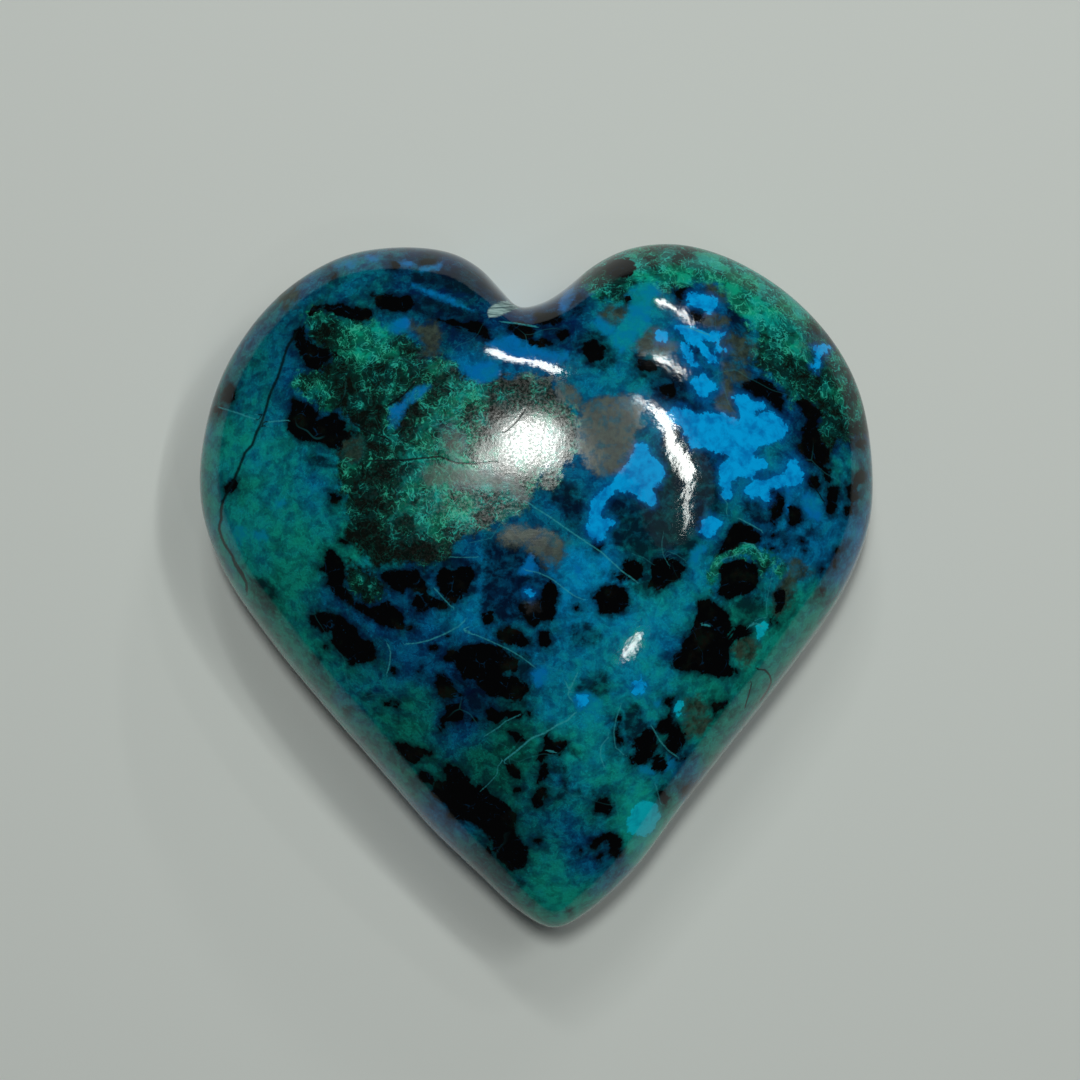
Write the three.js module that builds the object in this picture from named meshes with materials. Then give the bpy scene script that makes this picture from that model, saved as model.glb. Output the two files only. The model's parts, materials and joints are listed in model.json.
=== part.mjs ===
// A polished puffed heart of chrysocolla in copper ore, cut from one piece of stone.
// Units are millimetres. +Z is up, +Y points from the tip to the notch between the lobes, and the
// origin is under the middle of the outline, on the surface that the stone lies on.
import * as THREE from "three";
import { mergeVertices } from "three/addons/utils/BufferGeometryUtils.js";

// Driving dimensions
const DOME_HEIGHT = 12.5; // from the widest line of the rim up to the crown
const UNDERSIDE_DEPTH = 10; // from the widest line of the rim down to the flat
const FLAT_SHARE = 0.34; // part of the way out to the rim that the underside stays flat
const DOME_FULLNESS = 2.5; // 2 is an ellipse; more keeps the crown flat and turns sooner at the rim
const UNDERSIDE_FULLNESS = 2.3;
const CROWN = new THREE.Vector2(0, 7.5); // where the dome is highest, seen from above
const CROWN_RADIUS = 29.5; // the even oval that the heart's outline eases into towards the crown
const CROWN_EGG = 4.5; // how much longer that oval is towards the tip, and shorter towards the notch
const NOTCH_FADE = 2; // higher fades the notch's valley out nearer to the rim
const STONE_DIVISIONS = 28; // faces along each edge of the box that is pushed out into the heart

// The heart's widest outline, seen from above, from the +X side round by the notch. The points are
// closer together at the notch and at the tip, which have the tightest turns.
const OUTLINE = [
  [32.5, 4.5],
  [33, 11.5],
  [31.6, 19],
  [27.6, 25.4],
  [21.8, 30.2],
  [15.6, 32.7],
  [10.6, 32.7],
  [6.8, 31.2],
  [3.4, 28.7],
  [1.2, 27.5],
  [-0.9, 27.2],
  [-2.5, 28.9],
  [-4.6, 31.3],
  [-7.6, 33],
  [-12.4, 33.7],
  [-18.5, 32.9],
  [-24.9, 29.1],
  [-29.9, 22.9],
  [-32.4, 16],
  [-33, 9.5],
  [-31.3, 3.2],
  [-27.6, -3],
  [-22.8, -9.6],
  [-17.6, -16.1],
  [-12.6, -22.4],
  [-7.4, -28],
  [-3.4, -32],
  [-0.2, -33.7],
  [3, -32.4],
  [7.8, -28.5],
  [13.3, -21.8],
  [18.9, -15.3],
  [24.5, -8.7],
  [29.6, -1.9],
];

const outline = new THREE.CatmullRomCurve3(
  OUTLINE.map(([x, y]) => new THREE.Vector3(x, y, 0)),
  true,
  "centripetal",
);

// The outline's point for a bearing about the crown: a whole turn walks once round the list, so the
// mesh is finer where the list's points are closer together.
function rimPoint(bearing) {
  const turn = bearing / (2 * Math.PI);
  const rim = outline.getPoint(turn - Math.floor(turn));
  return new THREE.Vector2(rim.x, rim.y).sub(CROWN);
}

// Seen from above: the point at a share of the way from the crown (0) to the rim (1).
function planPoint(bearing, share) {
  const rim = rimPoint(bearing);
  const oval = CROWN_RADIUS - CROWN_EGG * Math.sin(rim.angle());
  const reach = THREE.MathUtils.lerp(oval, rim.length(), share ** NOTCH_FADE);
  return rim.setLength(reach * share).add(CROWN);
}

// Height above the rim's widest line, for the same share.
function domeHeight(share) {
  return DOME_HEIGHT * Math.sqrt(1 - share ** DOME_FULLNESS);
}

function undersideHeight(share) {
  const past = Math.max(0, (share - FLAT_SHARE) / (1 - FLAT_SHARE));
  return -UNDERSIDE_DEPTH * Math.sqrt(Math.max(0, 1 - past ** UNDERSIDE_FULLNESS));
}

// Carries a point of the unit sphere onto the heart.
function ontoHeart(point) {
  const bearing = Math.atan2(point.y, point.x);
  const share = Math.min(1, Math.hypot(point.x, point.y) ** (2 / DOME_FULLNESS));
  const plan = planPoint(bearing, share);
  const height = point.z >= 0 ? domeHeight(share) : undersideHeight(share);
  return point.set(plan.x, plan.y, height + UNDERSIDE_DEPTH);
}

// A box whose faces are divided evenly as seen from its middle, pushed out onto a sphere and from
// there onto the heart, so that no face of the stone is a thin sliver.
function heartGeometry() {
  const box = new THREE.BoxGeometry(2, 2, 2, STONE_DIVISIONS, STONE_DIVISIONS, STONE_DIVISIONS);
  box.deleteAttribute("normal");
  box.deleteAttribute("uv");
  const even = (side) => Math.tan((side * Math.PI) / 4);
  const places = box.getAttribute("position");
  const point = new THREE.Vector3();
  for (let i = 0; i < places.count; i++) {
    point.fromBufferAttribute(places, i);
    point.set(even(point.x), even(point.y), even(point.z)).normalize();
    ontoHeart(point);
    places.setXYZ(i, point.x, point.y, point.z);
  }
  const heart = mergeVertices(box, 1e-4);
  heart.computeVertexNormals();
  return heart;
}

function stoneMaterial() {
  return new THREE.MeshStandardMaterial({ color: 0x0b5a72, roughness: 0.18, metalness: 0 });
}

function makeHeart() {
  const stone = new THREE.Mesh(heartGeometry(), stoneMaterial());
  stone.name = "heart_stone";
  const heart = new THREE.Group();
  heart.add(stone);
  return heart;
}

export default makeHeart();
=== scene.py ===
# %% [markdown]
# A polished heart of chrysocolla, about 66 mm wide, lying on a pale floor and seen from straight
# above. The stone's outline and thickness come from the solid model; this lesson gives it a smooth
# polished skin and the minerals that show in it: blue and green chrysocolla, mossy malachite,
# angular black tenorite, a little brown cuprite, hairline veins and healed cracks.

# %% Load the solid model
import json
import math
import bpy
import numpy as np
from mathutils import Matrix, Vector

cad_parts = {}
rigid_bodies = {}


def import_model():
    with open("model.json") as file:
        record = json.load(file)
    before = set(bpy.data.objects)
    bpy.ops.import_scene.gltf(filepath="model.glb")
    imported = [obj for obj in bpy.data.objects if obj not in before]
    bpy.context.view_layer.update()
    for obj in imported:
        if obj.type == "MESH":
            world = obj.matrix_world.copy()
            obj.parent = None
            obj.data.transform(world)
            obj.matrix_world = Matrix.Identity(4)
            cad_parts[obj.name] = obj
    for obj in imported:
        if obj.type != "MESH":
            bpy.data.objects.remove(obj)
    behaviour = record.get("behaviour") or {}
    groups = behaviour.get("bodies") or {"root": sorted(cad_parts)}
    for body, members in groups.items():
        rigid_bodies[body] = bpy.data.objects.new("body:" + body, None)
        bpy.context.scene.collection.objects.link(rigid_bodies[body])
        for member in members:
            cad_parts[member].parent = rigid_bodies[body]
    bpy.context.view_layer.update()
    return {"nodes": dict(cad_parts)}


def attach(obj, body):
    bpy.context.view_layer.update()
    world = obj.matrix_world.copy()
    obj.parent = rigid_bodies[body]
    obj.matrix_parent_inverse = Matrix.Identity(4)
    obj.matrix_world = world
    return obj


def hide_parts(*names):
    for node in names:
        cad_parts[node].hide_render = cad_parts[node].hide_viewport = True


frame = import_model()
solid = frame["nodes"]["heart_stone"]
MM = 0.001

# %% [markdown]
# The camera looks straight down from 0.3 m above the widest line of the rim. One degree of turn
# matters here, because a heart shows at once when it leans: it is turned 2.5 degrees about its own
# line of sight. The lens is worked out from the width that the picture takes in at the rim.

# %% Camera
RIM_HEIGHT = 10.0 * MM
VIEW_CENTRE = Vector((0.11 * MM, 4.39 * MM))
VIEW_WIDTH = 105.84 * MM
EYE_HEIGHT = 300.0 * MM
LEAN = math.radians(-2.5)

lens = bpy.data.cameras.new("overhead_lens")
lens.sensor_width = 36
lens.lens = lens.sensor_width * EYE_HEIGHT / VIEW_WIDTH
lens.clip_start = 0.01
lens.clip_end = 10
camera = bpy.data.objects.new("overhead_camera", lens)
camera.location = (VIEW_CENTRE.x, VIEW_CENTRE.y, RIM_HEIGHT + EYE_HEIGHT)
camera.rotation_euler = (0, 0, LEAN)
bpy.context.scene.collection.objects.link(camera)
bpy.context.scene.camera = camera
print("lens", round(lens.lens, 1), "mm")

# %% [markdown]
# The skin could be a new ball pushed into a heart, but then it would have to be fitted to the solid
# everywhere. A copy of the solid's own surface is surer: its loose triangles are joined and paired
# into quads.

# %% Skin
def only(piece):
    bpy.ops.object.select_all(action="DESELECT")
    piece.select_set(True)
    bpy.context.view_layer.objects.active = piece


only(solid)
bpy.ops.object.duplicate()
skin = bpy.context.active_object
skin.name = "polished_skin"
skin.data.name = "polished_skin"
bpy.ops.object.parent_clear(type="CLEAR_KEEP_TRANSFORM")
bpy.ops.object.mode_set(mode="EDIT")
bpy.ops.mesh.select_all(action="SELECT")
bpy.ops.mesh.remove_doubles(threshold=0.001 * MM)
bpy.ops.mesh.tris_convert_to_quads(face_threshold=math.radians(50),
                                   shape_threshold=math.radians(60))
bpy.ops.object.mode_set(mode="OBJECT")
print("joined skin:", len(skin.data.vertices), "points,", len(skin.data.polygons), "faces")

# %% [markdown]
# The wheel that polished the dome also rounded the valley that runs down from the notch, so that a
# lamp's reflection crosses it in one piece. Each ring round the dome is an even oval near the crown
# and the notched outline at the rim. Here the rings keep the oval half the way down, and turn into
# the notch after that. The crown, the oval and the dome's curve are those of the solid.

# %% Rounded valley
CROWN = (0.0, 7.5)
OVAL, EGG = 29.5, 4.5
DOME, FULLNESS = 12.5, 2.5
VALLEY_STARTS, VALLEY_FADE = 0.5, 1.6


def eased(value, start, end):
    share = min(1.0, max(0.0, (value - start) / (end - start)))
    return share * share * (3 - 2 * share)


moved = []
for vertex in skin.data.vertices:
    x, y, z = vertex.co / MM
    rise = (z - RIM_HEIGHT / MM) / DOME
    share = max(0.0, 1 - max(0.0, rise) ** 2) ** (1 / FULLNESS)
    part = eased(share, 0.25, 0.4) * eased(y, 8, 14)
    if rise > 0 and part > 0:
        across, up = x - CROWN[0], y - CROWN[1]
        length = math.hypot(across, up)
        oval = OVAL - EGG * up / length
        rim = oval + (length / share - oval) / share ** 2
        down = max(0.0, (share - VALLEY_STARTS) / (1 - VALLEY_STARTS))
        ring = (oval + (rim - oval) * down ** VALLEY_FADE) * share
        stretch = 1 + part * (ring / length - 1)
        vertex.co.x = (CROWN[0] + across * stretch) * MM
        vertex.co.y = (CROWN[1] + up * stretch) * MM
        moved.append(length * abs(stretch - 1))
print("moved", len(moved), "points by up to", round(max(moved), 2), "mm along the dome")

# %% [markdown]
# Two levels of subdivision bring most points to a third of a millimetre apart, which is fine enough
# for clean reflections in the polish and for the edges of the mineral patches.

# %% Smooth skin
smoother = skin.modifiers.new("rounded", "SUBSURF")
smoother.levels = smoother.render_levels = 2
bpy.ops.object.modifier_apply(modifier=smoother.name)
bpy.ops.object.shade_smooth()
print("smoothed skin:", len(skin.data.vertices), "points,", len(skin.data.polygons), "faces")

# %% [markdown]
# The solid has its widest faces round the crown, where it is nearly flat, and the points there are
# still up to 0.8 mm apart. A third level everywhere would be far too heavy, so only the crown's
# faces are cut in four. A smooth cut lays the new points on the curve of their neighbours.

# %% Finer points on the crown
CROWN_FROM = 20.3 * MM
bpy.ops.object.mode_set(mode="EDIT")
bpy.ops.mesh.select_mode(type="FACE")
bpy.ops.mesh.select_all(action="DESELECT")
bpy.ops.object.mode_set(mode="OBJECT")
for face in skin.data.polygons:
    face.select = face.center.z > CROWN_FROM
bpy.ops.object.mode_set(mode="EDIT")
bpy.ops.mesh.subdivide(number_cuts=1, smoothness=1.0, ngon=False)
bpy.ops.object.mode_set(mode="OBJECT")
triangles = sum(len(face.vertices) - 2 for face in skin.data.polygons)
print("with a finer crown:", len(skin.data.vertices), "points and", triangles, "triangles")

# %% [markdown]
# A heart like this is ground by hand on a wheel, so its dome isn't a perfect curve: it has very
# shallow flats and swells, which make the reflections wander. A displacement of about a tenth of a
# millimetre by a slow cloud pattern does that. The flat underneath is kept out by a vertex group,
# which lets the swells in over the first 3 mm above it.

# %% Hand-ground swells
FLAT_ENDS, SWELLS_RISE = 0.3, 3
SWELL_WIDTH, SWELL_DEPTH = 9 * MM, 0.13 * MM
rounded = skin.vertex_groups.new(name="above_the_flat")
for vertex in skin.data.vertices:
    let_in = min(1.0, max(0.0, (vertex.co.z / MM - FLAT_ENDS) / SWELLS_RISE))
    rounded.add([vertex.index], let_in, "REPLACE")
swells = bpy.data.textures.new("hand_ground_swells", "CLOUDS")
swells.noise_scale = SWELL_WIDTH
swells.noise_depth = 1
grinding = skin.modifiers.new("hand ground", "DISPLACE")
grinding.texture = swells
grinding.texture_coords = "LOCAL"
grinding.vertex_group = rounded.name
grinding.strength = SWELL_DEPTH
grinding.mid_level = 1.0
bpy.ops.object.modifier_apply(modifier=grinding.name)
skin.vertex_groups.clear()
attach(skin, "root")
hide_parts("heart_stone")
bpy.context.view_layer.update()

# %% [markdown]
# The minerals lie where the stone's own breccia put them, so the large patches are drawn as
# loops of points, in millimetres, as they are seen from above. The points of the skin are carried
# along the line of sight to the rim's level first, because the crown is nearer to the eye.

# %% Skin points as the eye sees them
count = len(skin.data.vertices)
points = np.empty(count * 3)
skin.data.vertices.foreach_get("co", points)
points = points.reshape(-1, 3) / MM
height = points[:, 2]
eye = np.array(VIEW_CENTRE) / MM
RIM = RIM_HEIGHT / MM
nearer = EYE_HEIGHT / (EYE_HEIGHT + RIM_HEIGHT - np.maximum(height, RIM) * MM)
seen = eye + (points[:, :2] - eye) * nearer[:, None]
print("carried", count, "points")

# %% [markdown]
# Each kind of mineral becomes one number per point of the skin: how many millimetres the point lies
# inside a patch of it, or outside where the number is negative. Such a depth can be blended between
# points without losing a sharp edge, and the material can roughen the edge by adding to it. Beyond
# 9 mm a depth no longer matters.

# %% Depth inside a loop
FAR = 9.0


def depth_in(loop):
    corners = np.array(loop, float)
    nearest = np.full(count, np.inf)
    inside = np.zeros(count, bool)
    for (ax, ay), (bx, by) in zip(corners, np.roll(corners, -1, axis=0)):
        side = np.array((bx - ax, by - ay))
        to_point = seen - (ax, ay)
        along = np.clip(to_point @ side / (side @ side), 0, 1)
        nearest = np.minimum(nearest, np.hypot(*(to_point - along[:, None] * side).T))
        if ay != by:
            crosses = (seen[:, 1] < ay) != (seen[:, 1] < by)
            inside ^= crosses & (seen[:, 0] < ax + (seen[:, 1] - ay) / (by - ay) * (bx - ax))
    return np.where(inside, nearest, -nearest)


# %% [markdown]
# A patch goes on into the stone, so one that reaches the rim turns down over its side. Each loop
# gets a floor of its own, between 2.5 and 9 mm above the table, where it ends. Small flecks are
# given as a middle and a size, and get a crooked five-sided loop.

# %% Patches seen from above
chance = np.random.default_rng(11)
FIFTH_OF_A_TURN = 1.257


def fleck(x, y, size):
    turns = np.arange(5) * FIFTH_OF_A_TURN + chance.uniform(-0.4, 0.4, 5)
    reach = size * chance.uniform(0.7, 1.25, 5)
    return [(x + r * math.cos(t), y + r * math.sin(t)) for r, t in zip(reach, turns)]


def from_above(loops, flecks=()):
    field = np.full(count, -FAR)
    for loop in [*loops, *(fleck(*one) for one in flecks)]:
        floor_height = chance.uniform(2.5, 9)
        field = np.maximum(field, np.minimum(depth_in(loop), height - floor_height))
    return field


def covered(field):
    return f"{100 * float((field > 0).mean()):.1f} % of the points"


def span(field):
    return f"{float(field.min()):.2f} to {float(field.max()):.2f}"


# %% [markdown]
# Tenorite, black copper oxide, is brittle and broke into angular pieces that the later minerals
# healed. These are its pieces, lobe by lobe.

# %% Tenorite
LEFT_LOBE_TENORITE = [
    [(-22, 26.6), (-23.1, 25.9), (-23.2, 25.2), (-22.8, 24.8), (-22.7, 23.9), (-22, 22.4),
     (-21.7, 21.9), (-20.7, 22), (-20.3, 22.6), (-19.1, 23.4), (-19.7, 23.8), (-20.6, 24),
     (-21.3, 24.7), (-21.9, 25.3)],
    [(-21.9, 26.7), (-21.6, 27.8), (-20.8, 28.4), (-20, 28.6), (-20.1, 28.2), (-21.1, 27.6),
     (-21.5, 26.8)],
    [(-20, 28.5), (-17.8, 28.1), (-16.5, 27.9), (-15.4, 27.8), (-15.4, 26.9), (-16, 26.5),
     (-17.3, 26.8), (-18.6, 27.2), (-20.1, 27.8)],
    [(-23.5, 19.4), (-23.8, 18.1), (-24.1, 17.1), (-24.1, 16.1), (-23.4, 15.5), (-22.1, 15),
     (-20.9, 14.8), (-20.2, 14.2), (-19.1, 14), (-18.8, 14.9), (-17.8, 15.3), (-17.5, 15.8),
     (-18.6, 16.1), (-18.4, 16.6), (-19, 17.2), (-19.1, 17.8), (-20, 17.6), (-20.9, 17.3),
     (-21.1, 16.4), (-21.3, 17.3), (-21.1, 18.3), (-21.8, 18.8), (-22.6, 19)],
    [(-29.7, 20.9), (-29.2, 20.5), (-29.1, 19.3), (-30.1, 19.2), (-30.8, 19.4), (-30.2, 20.2)],
    [(-31.3, 18.9), (-30.5, 18.9), (-30.6, 18.2), (-31.4, 18.1)],
    [(-15.4, 29.2), (-13.4, 29), (-11.6, 28.8), (-11, 28), (-12, 27.2), (-13.6, 27.6), (-15, 27.8)],
    [(-8.9, 26.4), (-6.5, 26.1), (-4.9, 25.9), (-4, 25.3), (-3.9, 24.2), (-5.2, 24.7), (-6.5, 25.4),
     (-7.9, 25.9)],
    [(-13.1, 32.3), (-12.5, 32.2), (-12.4, 31.6), (-13.1, 31.6)],
    [(-10.6, 32.4), (-8.8, 32.4), (-9, 31.8), (-10.4, 31.8)],
    [(-30.6, 10.9), (-30, 11.5), (-29.2, 11.5), (-29, 10.9), (-29.8, 10.3), (-30.5, 10.4)],
    [(-20.4, 10), (-19.6, 9.8), (-19.1, 9.3), (-19.6, 8.7), (-20.1, 8.8), (-20.2, 9.4)],
    [(-19.6, 5.6), (-18.8, 5.3), (-18.4, 4.8), (-19.2, 4.7), (-19.6, 5)],
    [(-22, 3), (-21.2, 2.8), (-20.8, 3.8), (-20.7, 4.6), (-20, 4.4), (-19.3, 3.4), (-19.1, 2),
     (-19.4, 0.8), (-18.4, -0.8), (-16.8, -1.6), (-15.2, -0.8), (-14, -1.8), (-13.5, -2.6),
     (-13.5, -3.6), (-14.8, -3.6), (-16, -3.2), (-17, -2.4), (-18, -1.8), (-19.2, -0.8), (-20.2, 0),
     (-21, 1), (-21.2, 1.2), (-20.6, 1.8), (-21.2, 2.2), (-21.8, 2.6)],
    [(-23, -2), (-22.2, -1.8), (-21.2, -1.6), (-20, -2), (-18.8, -3), (-18, -3.8), (-17.4, -4.8),
     (-16.4, -5.2), (-16.4, -6), (-16.6, -7), (-19.2, -7), (-19.2, -6.4), (-20.2, -5.6),
     (-20.8, -4.8), (-20.8, -3.8), (-21.6, -3.6), (-22.4, -3)],
]
MIDDLE_TENORITE = [
    [(-16, 2.2), (-14.8, 2), (-13.2, 2), (-12.2, 1.9), (-11.6, 1), (-11, 0), (-11.4, -0.4),
     (-12.4, -0.2), (-13.2, 0.4), (-13.6, -0.4), (-14.4, 0.2), (-15.4, 1)],
    [(-13, -0.8), (-11.8, -0.4), (-10.4, -0.8), (-9.4, -1.4), (-9.2, -2), (-10, -2), (-11.2, -1.6),
     (-11.4, -2.2), (-12.2, -2), (-12.8, -1.4)],
    [(-9.8, 2.2), (-8.4, 2), (-6.8, 2.2), (-6.4, 1.2), (-6.8, 0.4), (-7.4, -0.6), (-8.4, -1.6),
     (-9.2, -1), (-10, 0.2), (-10.4, 1.4)],
    [(-6, -2.6), (-5, -2.4), (-4.7, -3.2), (-5.2, -3.7), (-5.8, -3.5)],
    [(-4.6, -4.6), (-3.4, -4), (-2.2, -4.4), (-1.4, -5.2), (-1, -5.8), (-2, -6), (-3.4, -5.6),
     (-4.4, -5.2)],
    [(0.6, 0.4), (1.4, 0), (1.5, -1.6), (1.4, -3), (0.8, -3.6), (-0.2, -3.6), (-0.8, -4),
     (-1.6, -3.2), (-2.2, -2.4), (-2.2, -1.8), (-0.8, -1.8), (0, -1.4), (0.2, -0.4)],
    [(-0.4, -4.8), (0.6, -4.6), (0.9, -5.6), (0.4, -6.4), (-0.4, -6)],
    [(-10, -6.6), (-9, -6), (-7.6, -5.6), (-6, -5.5), (-4.8, -5.6), (-4, -6.2), (-3, -6.9),
     (-2.4, -7.3), (-2.8, -8.2), (-4, -8.4), (-4.4, -8.8), (-3, -9), (-1.8, -9.4), (-1.6, -10.2),
     (-2, -11), (-3, -11.4), (-4.2, -11), (-5, -10.8), (-6, -10.4), (-6.8, -9.2), (-8, -9),
     (-8.4, -8), (-8.8, -7.2), (-9.8, -7)],
    [(-10.4, -8.2), (-9.6, -8.4), (-9, -9.4), (-8.2, -10.2), (-8, -10.6), (-9.2, -10.6),
     (-10, -10.7), (-10.6, -10.2), (-10.9, -9.2)],
    [(-9.8, -11.4), (-8.6, -11.4), (-8.2, -12.4), (-8.4, -13), (-9.2, -13.2), (-9.8, -13),
     (-10, -13.8), (-10.5, -13.8), (-10.6, -13), (-10, -12.4)],
    [(-6, -12), (-5.4, -11.8), (-4.6, -12.2), (-3.4, -12.2), (-2.4, -12.6), (-2.8, -13), (-4, -13),
     (-5, -13.3), (-5.8, -13)],
    [(-3.9, -14.2), (-3, -14.3), (-2, -15), (-2.2, -15.4), (-3, -15.2), (-3.6, -14.6)],
    [(8.2, 2), (9.4, 2.2), (10.2, 1.4), (10, 0.2), (9.4, 0), (8.4, 0.4)],
    [(5.4, 4.2), (6.2, 4), (6.4, 3.4), (5.8, 3), (5.3, 3.4)],
    [(7.2, 0.8), (8.2, 1), (8.2, 0.2), (7.4, 0.2)],
    [(5, -1.4), (6, -0.6), (7.2, -0.3), (8.2, -0.8), (8.7, -1.6), (8.6, -2.2), (7.8, -3),
     (6.6, -3.2), (5.8, -3), (5.4, -2.2)],
]
RIGHT_LOBE_TENORITE = [
    [(-2.3, 25.6), (-1, 25.8), (-0.2, 25.6), (0.5, 24.9), (0.2, 24.2), (-1.1, 24.2), (-1.9, 24.9)],
    [(0.8, 26.6), (2.6, 26.6), (3.3, 26.2), (2.8, 25.5), (1.6, 25.3), (0.6, 25.6)],
    [(2.6, 24.6), (3.6, 24.9), (3.8, 24.3), (3.2, 23.9), (2.6, 24)],
    [(0, 24.2), (1.2, 24), (2.4, 23.8), (2.2, 23.4), (0.8, 23.4), (-0.2, 23.6)],
    [(5.2, 23.6), (6.4, 24), (7.2, 22.8), (7, 21.8), (5.8, 21.6), (5, 22.4)],
    [(7.8, 31), (8.6, 31.6), (9.4, 31.7), (10.4, 31.3), (10.8, 30.6), (10.5, 30), (9.6, 29.7),
     (8.6, 29.9), (7.7, 30.3)],
    [(10.4, 21.6), (11.6, 21.4), (12.4, 20.6), (11.6, 20.2), (10.6, 20.8)],
    [(12.6, 19.2), (14, 19.4), (14.4, 18.2), (13.4, 17.8), (12.4, 18.4)],
    [(14.2, 28.3), (16, 28.6), (16.2, 28.1), (15.3, 27.6), (15.2, 26.8), (14.6, 27.2)],
    [(15.8, 26.2), (17, 26.4), (17.2, 25.2), (16.6, 24.8), (15.9, 25.2)],
    [(15.4, 23.2), (16.6, 23), (16.8, 22.2), (16, 21.9), (15.5, 22.4)],
    [(20.4, 19.2), (22, 19.2), (23.4, 18.8), (24.2, 17.8), (24.6, 16.8), (24.4, 15.8), (23.8, 16.2),
     (23, 16.8), (22, 17.2), (21.4, 17.8), (20.6, 18.2)],
    [(25.2, 16.8), (26.2, 16.4), (26.6, 15), (26.2, 13.4), (25.8, 12.2), (26.6, 11), (27.6, 10.6),
     (28.6, 11), (28.8, 12.2), (28, 13), (27.8, 14.4), (28.2, 15.6), (27.4, 16.6), (26.4, 17.2)],
    [(31, 12.8), (32.2, 12.9), (32.3, 12.1), (31.4, 11.9)],
    [(11.4, 2.2), (12.6, 2), (13.6, 1.8), (14.2, 1), (13.4, 0), (12.4, -0.6), (11, -1),
     (10.2, -0.6), (10.8, 0.8)],
    [(22.6, 8), (23.4, 8.4), (24, 7.6), (24.2, 7), (23.8, 5.8), (23, 4.8), (22.8, 5.8),
     (22.6, 6.8)],
    [(24.6, 6.6), (25.4, 6.8), (25.8, 6), (26, 5.2), (25.2, 4.6), (24.6, 4.8)],
    [(18.6, 4.4), (19.8, 5.4), (20.8, 4.8), (21.6, 4), (21.8, 3.2), (21.4, 3), (20.6, 3.3),
     (19.8, 3.3), (19.2, 2.8), (18, 2.2), (17.2, 2), (17.6, 2.8)],
    [(22, 3.2), (23, 2.8), (23.2, 2.2), (22.6, 2.4)],
    [(17.6, 0.8), (18, 1.4), (19.2, 1.7), (20.6, 1.4), (21.4, 0.8), (21.2, 0.2), (21.4, -0.8),
     (20.8, -1.4), (19.6, -2), (18.6, -2), (18, -2.2), (17.2, -1.8), (17.4, -0.8), (17.6, 0)],
    [(15, -3.6), (15.6, -2.2), (16.4, -2), (17, -2.6), (17.8, -3.4), (18.4, -4), (18.3, -5.2),
     (18, -6), (18.2, -6.8), (18, -7.4), (18.2, -8.2), (18.8, -9.8), (17, -9.8), (15.4, -9.5),
     (14.6, -9), (13.4, -9), (12.6, -8.6), (12.5, -7.8), (13.4, -6.8), (14.2, -5.6), (14.8, -4.6)],
    [(18.2, -5), (19.6, -5), (20.8, -5.2), (20.4, -6), (19.4, -6), (18.4, -6.6)],
    [(23, -2), (23.4, -1.2), (24, -1.8), (23.8, -3), (23.2, -3.8), (22.8, -3.8), (22.8, -2.8)],
    [(28.6, 8.4), (29.6, 8.2), (29.6, 7), (28.8, 6.6), (28.4, 7.2)],
    [(28.4, 6.8), (29.4, 6.6), (29, 5.6), (28.4, 5.8)],
    [(30.4, 8.4), (31.4, 8.4), (31.6, 7.2), (30.8, 6.8), (30.4, 7.4)],
    [(30, 6.4), (31, 6.4), (31, 5.6), (30.2, 5.4)],
    [(30.8, 9.6), (32, 9.8), (32, 8.6), (31.2, 8.4)],
    [(26.2, 9.6), (27.6, 9.4), (27.8, 8.4), (27, 8.2), (26.4, 8.6)],
    [(27.8, 10.6), (28.8, 10), (28.8, 9), (28, 9.2)],
    [(16.2, -12.2), (17.8, -12.2), (17.6, -12.8), (16.8, -13), (16.8, -13.6), (16.4, -13.6),
     (16.4, -12.8)],
]
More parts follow.
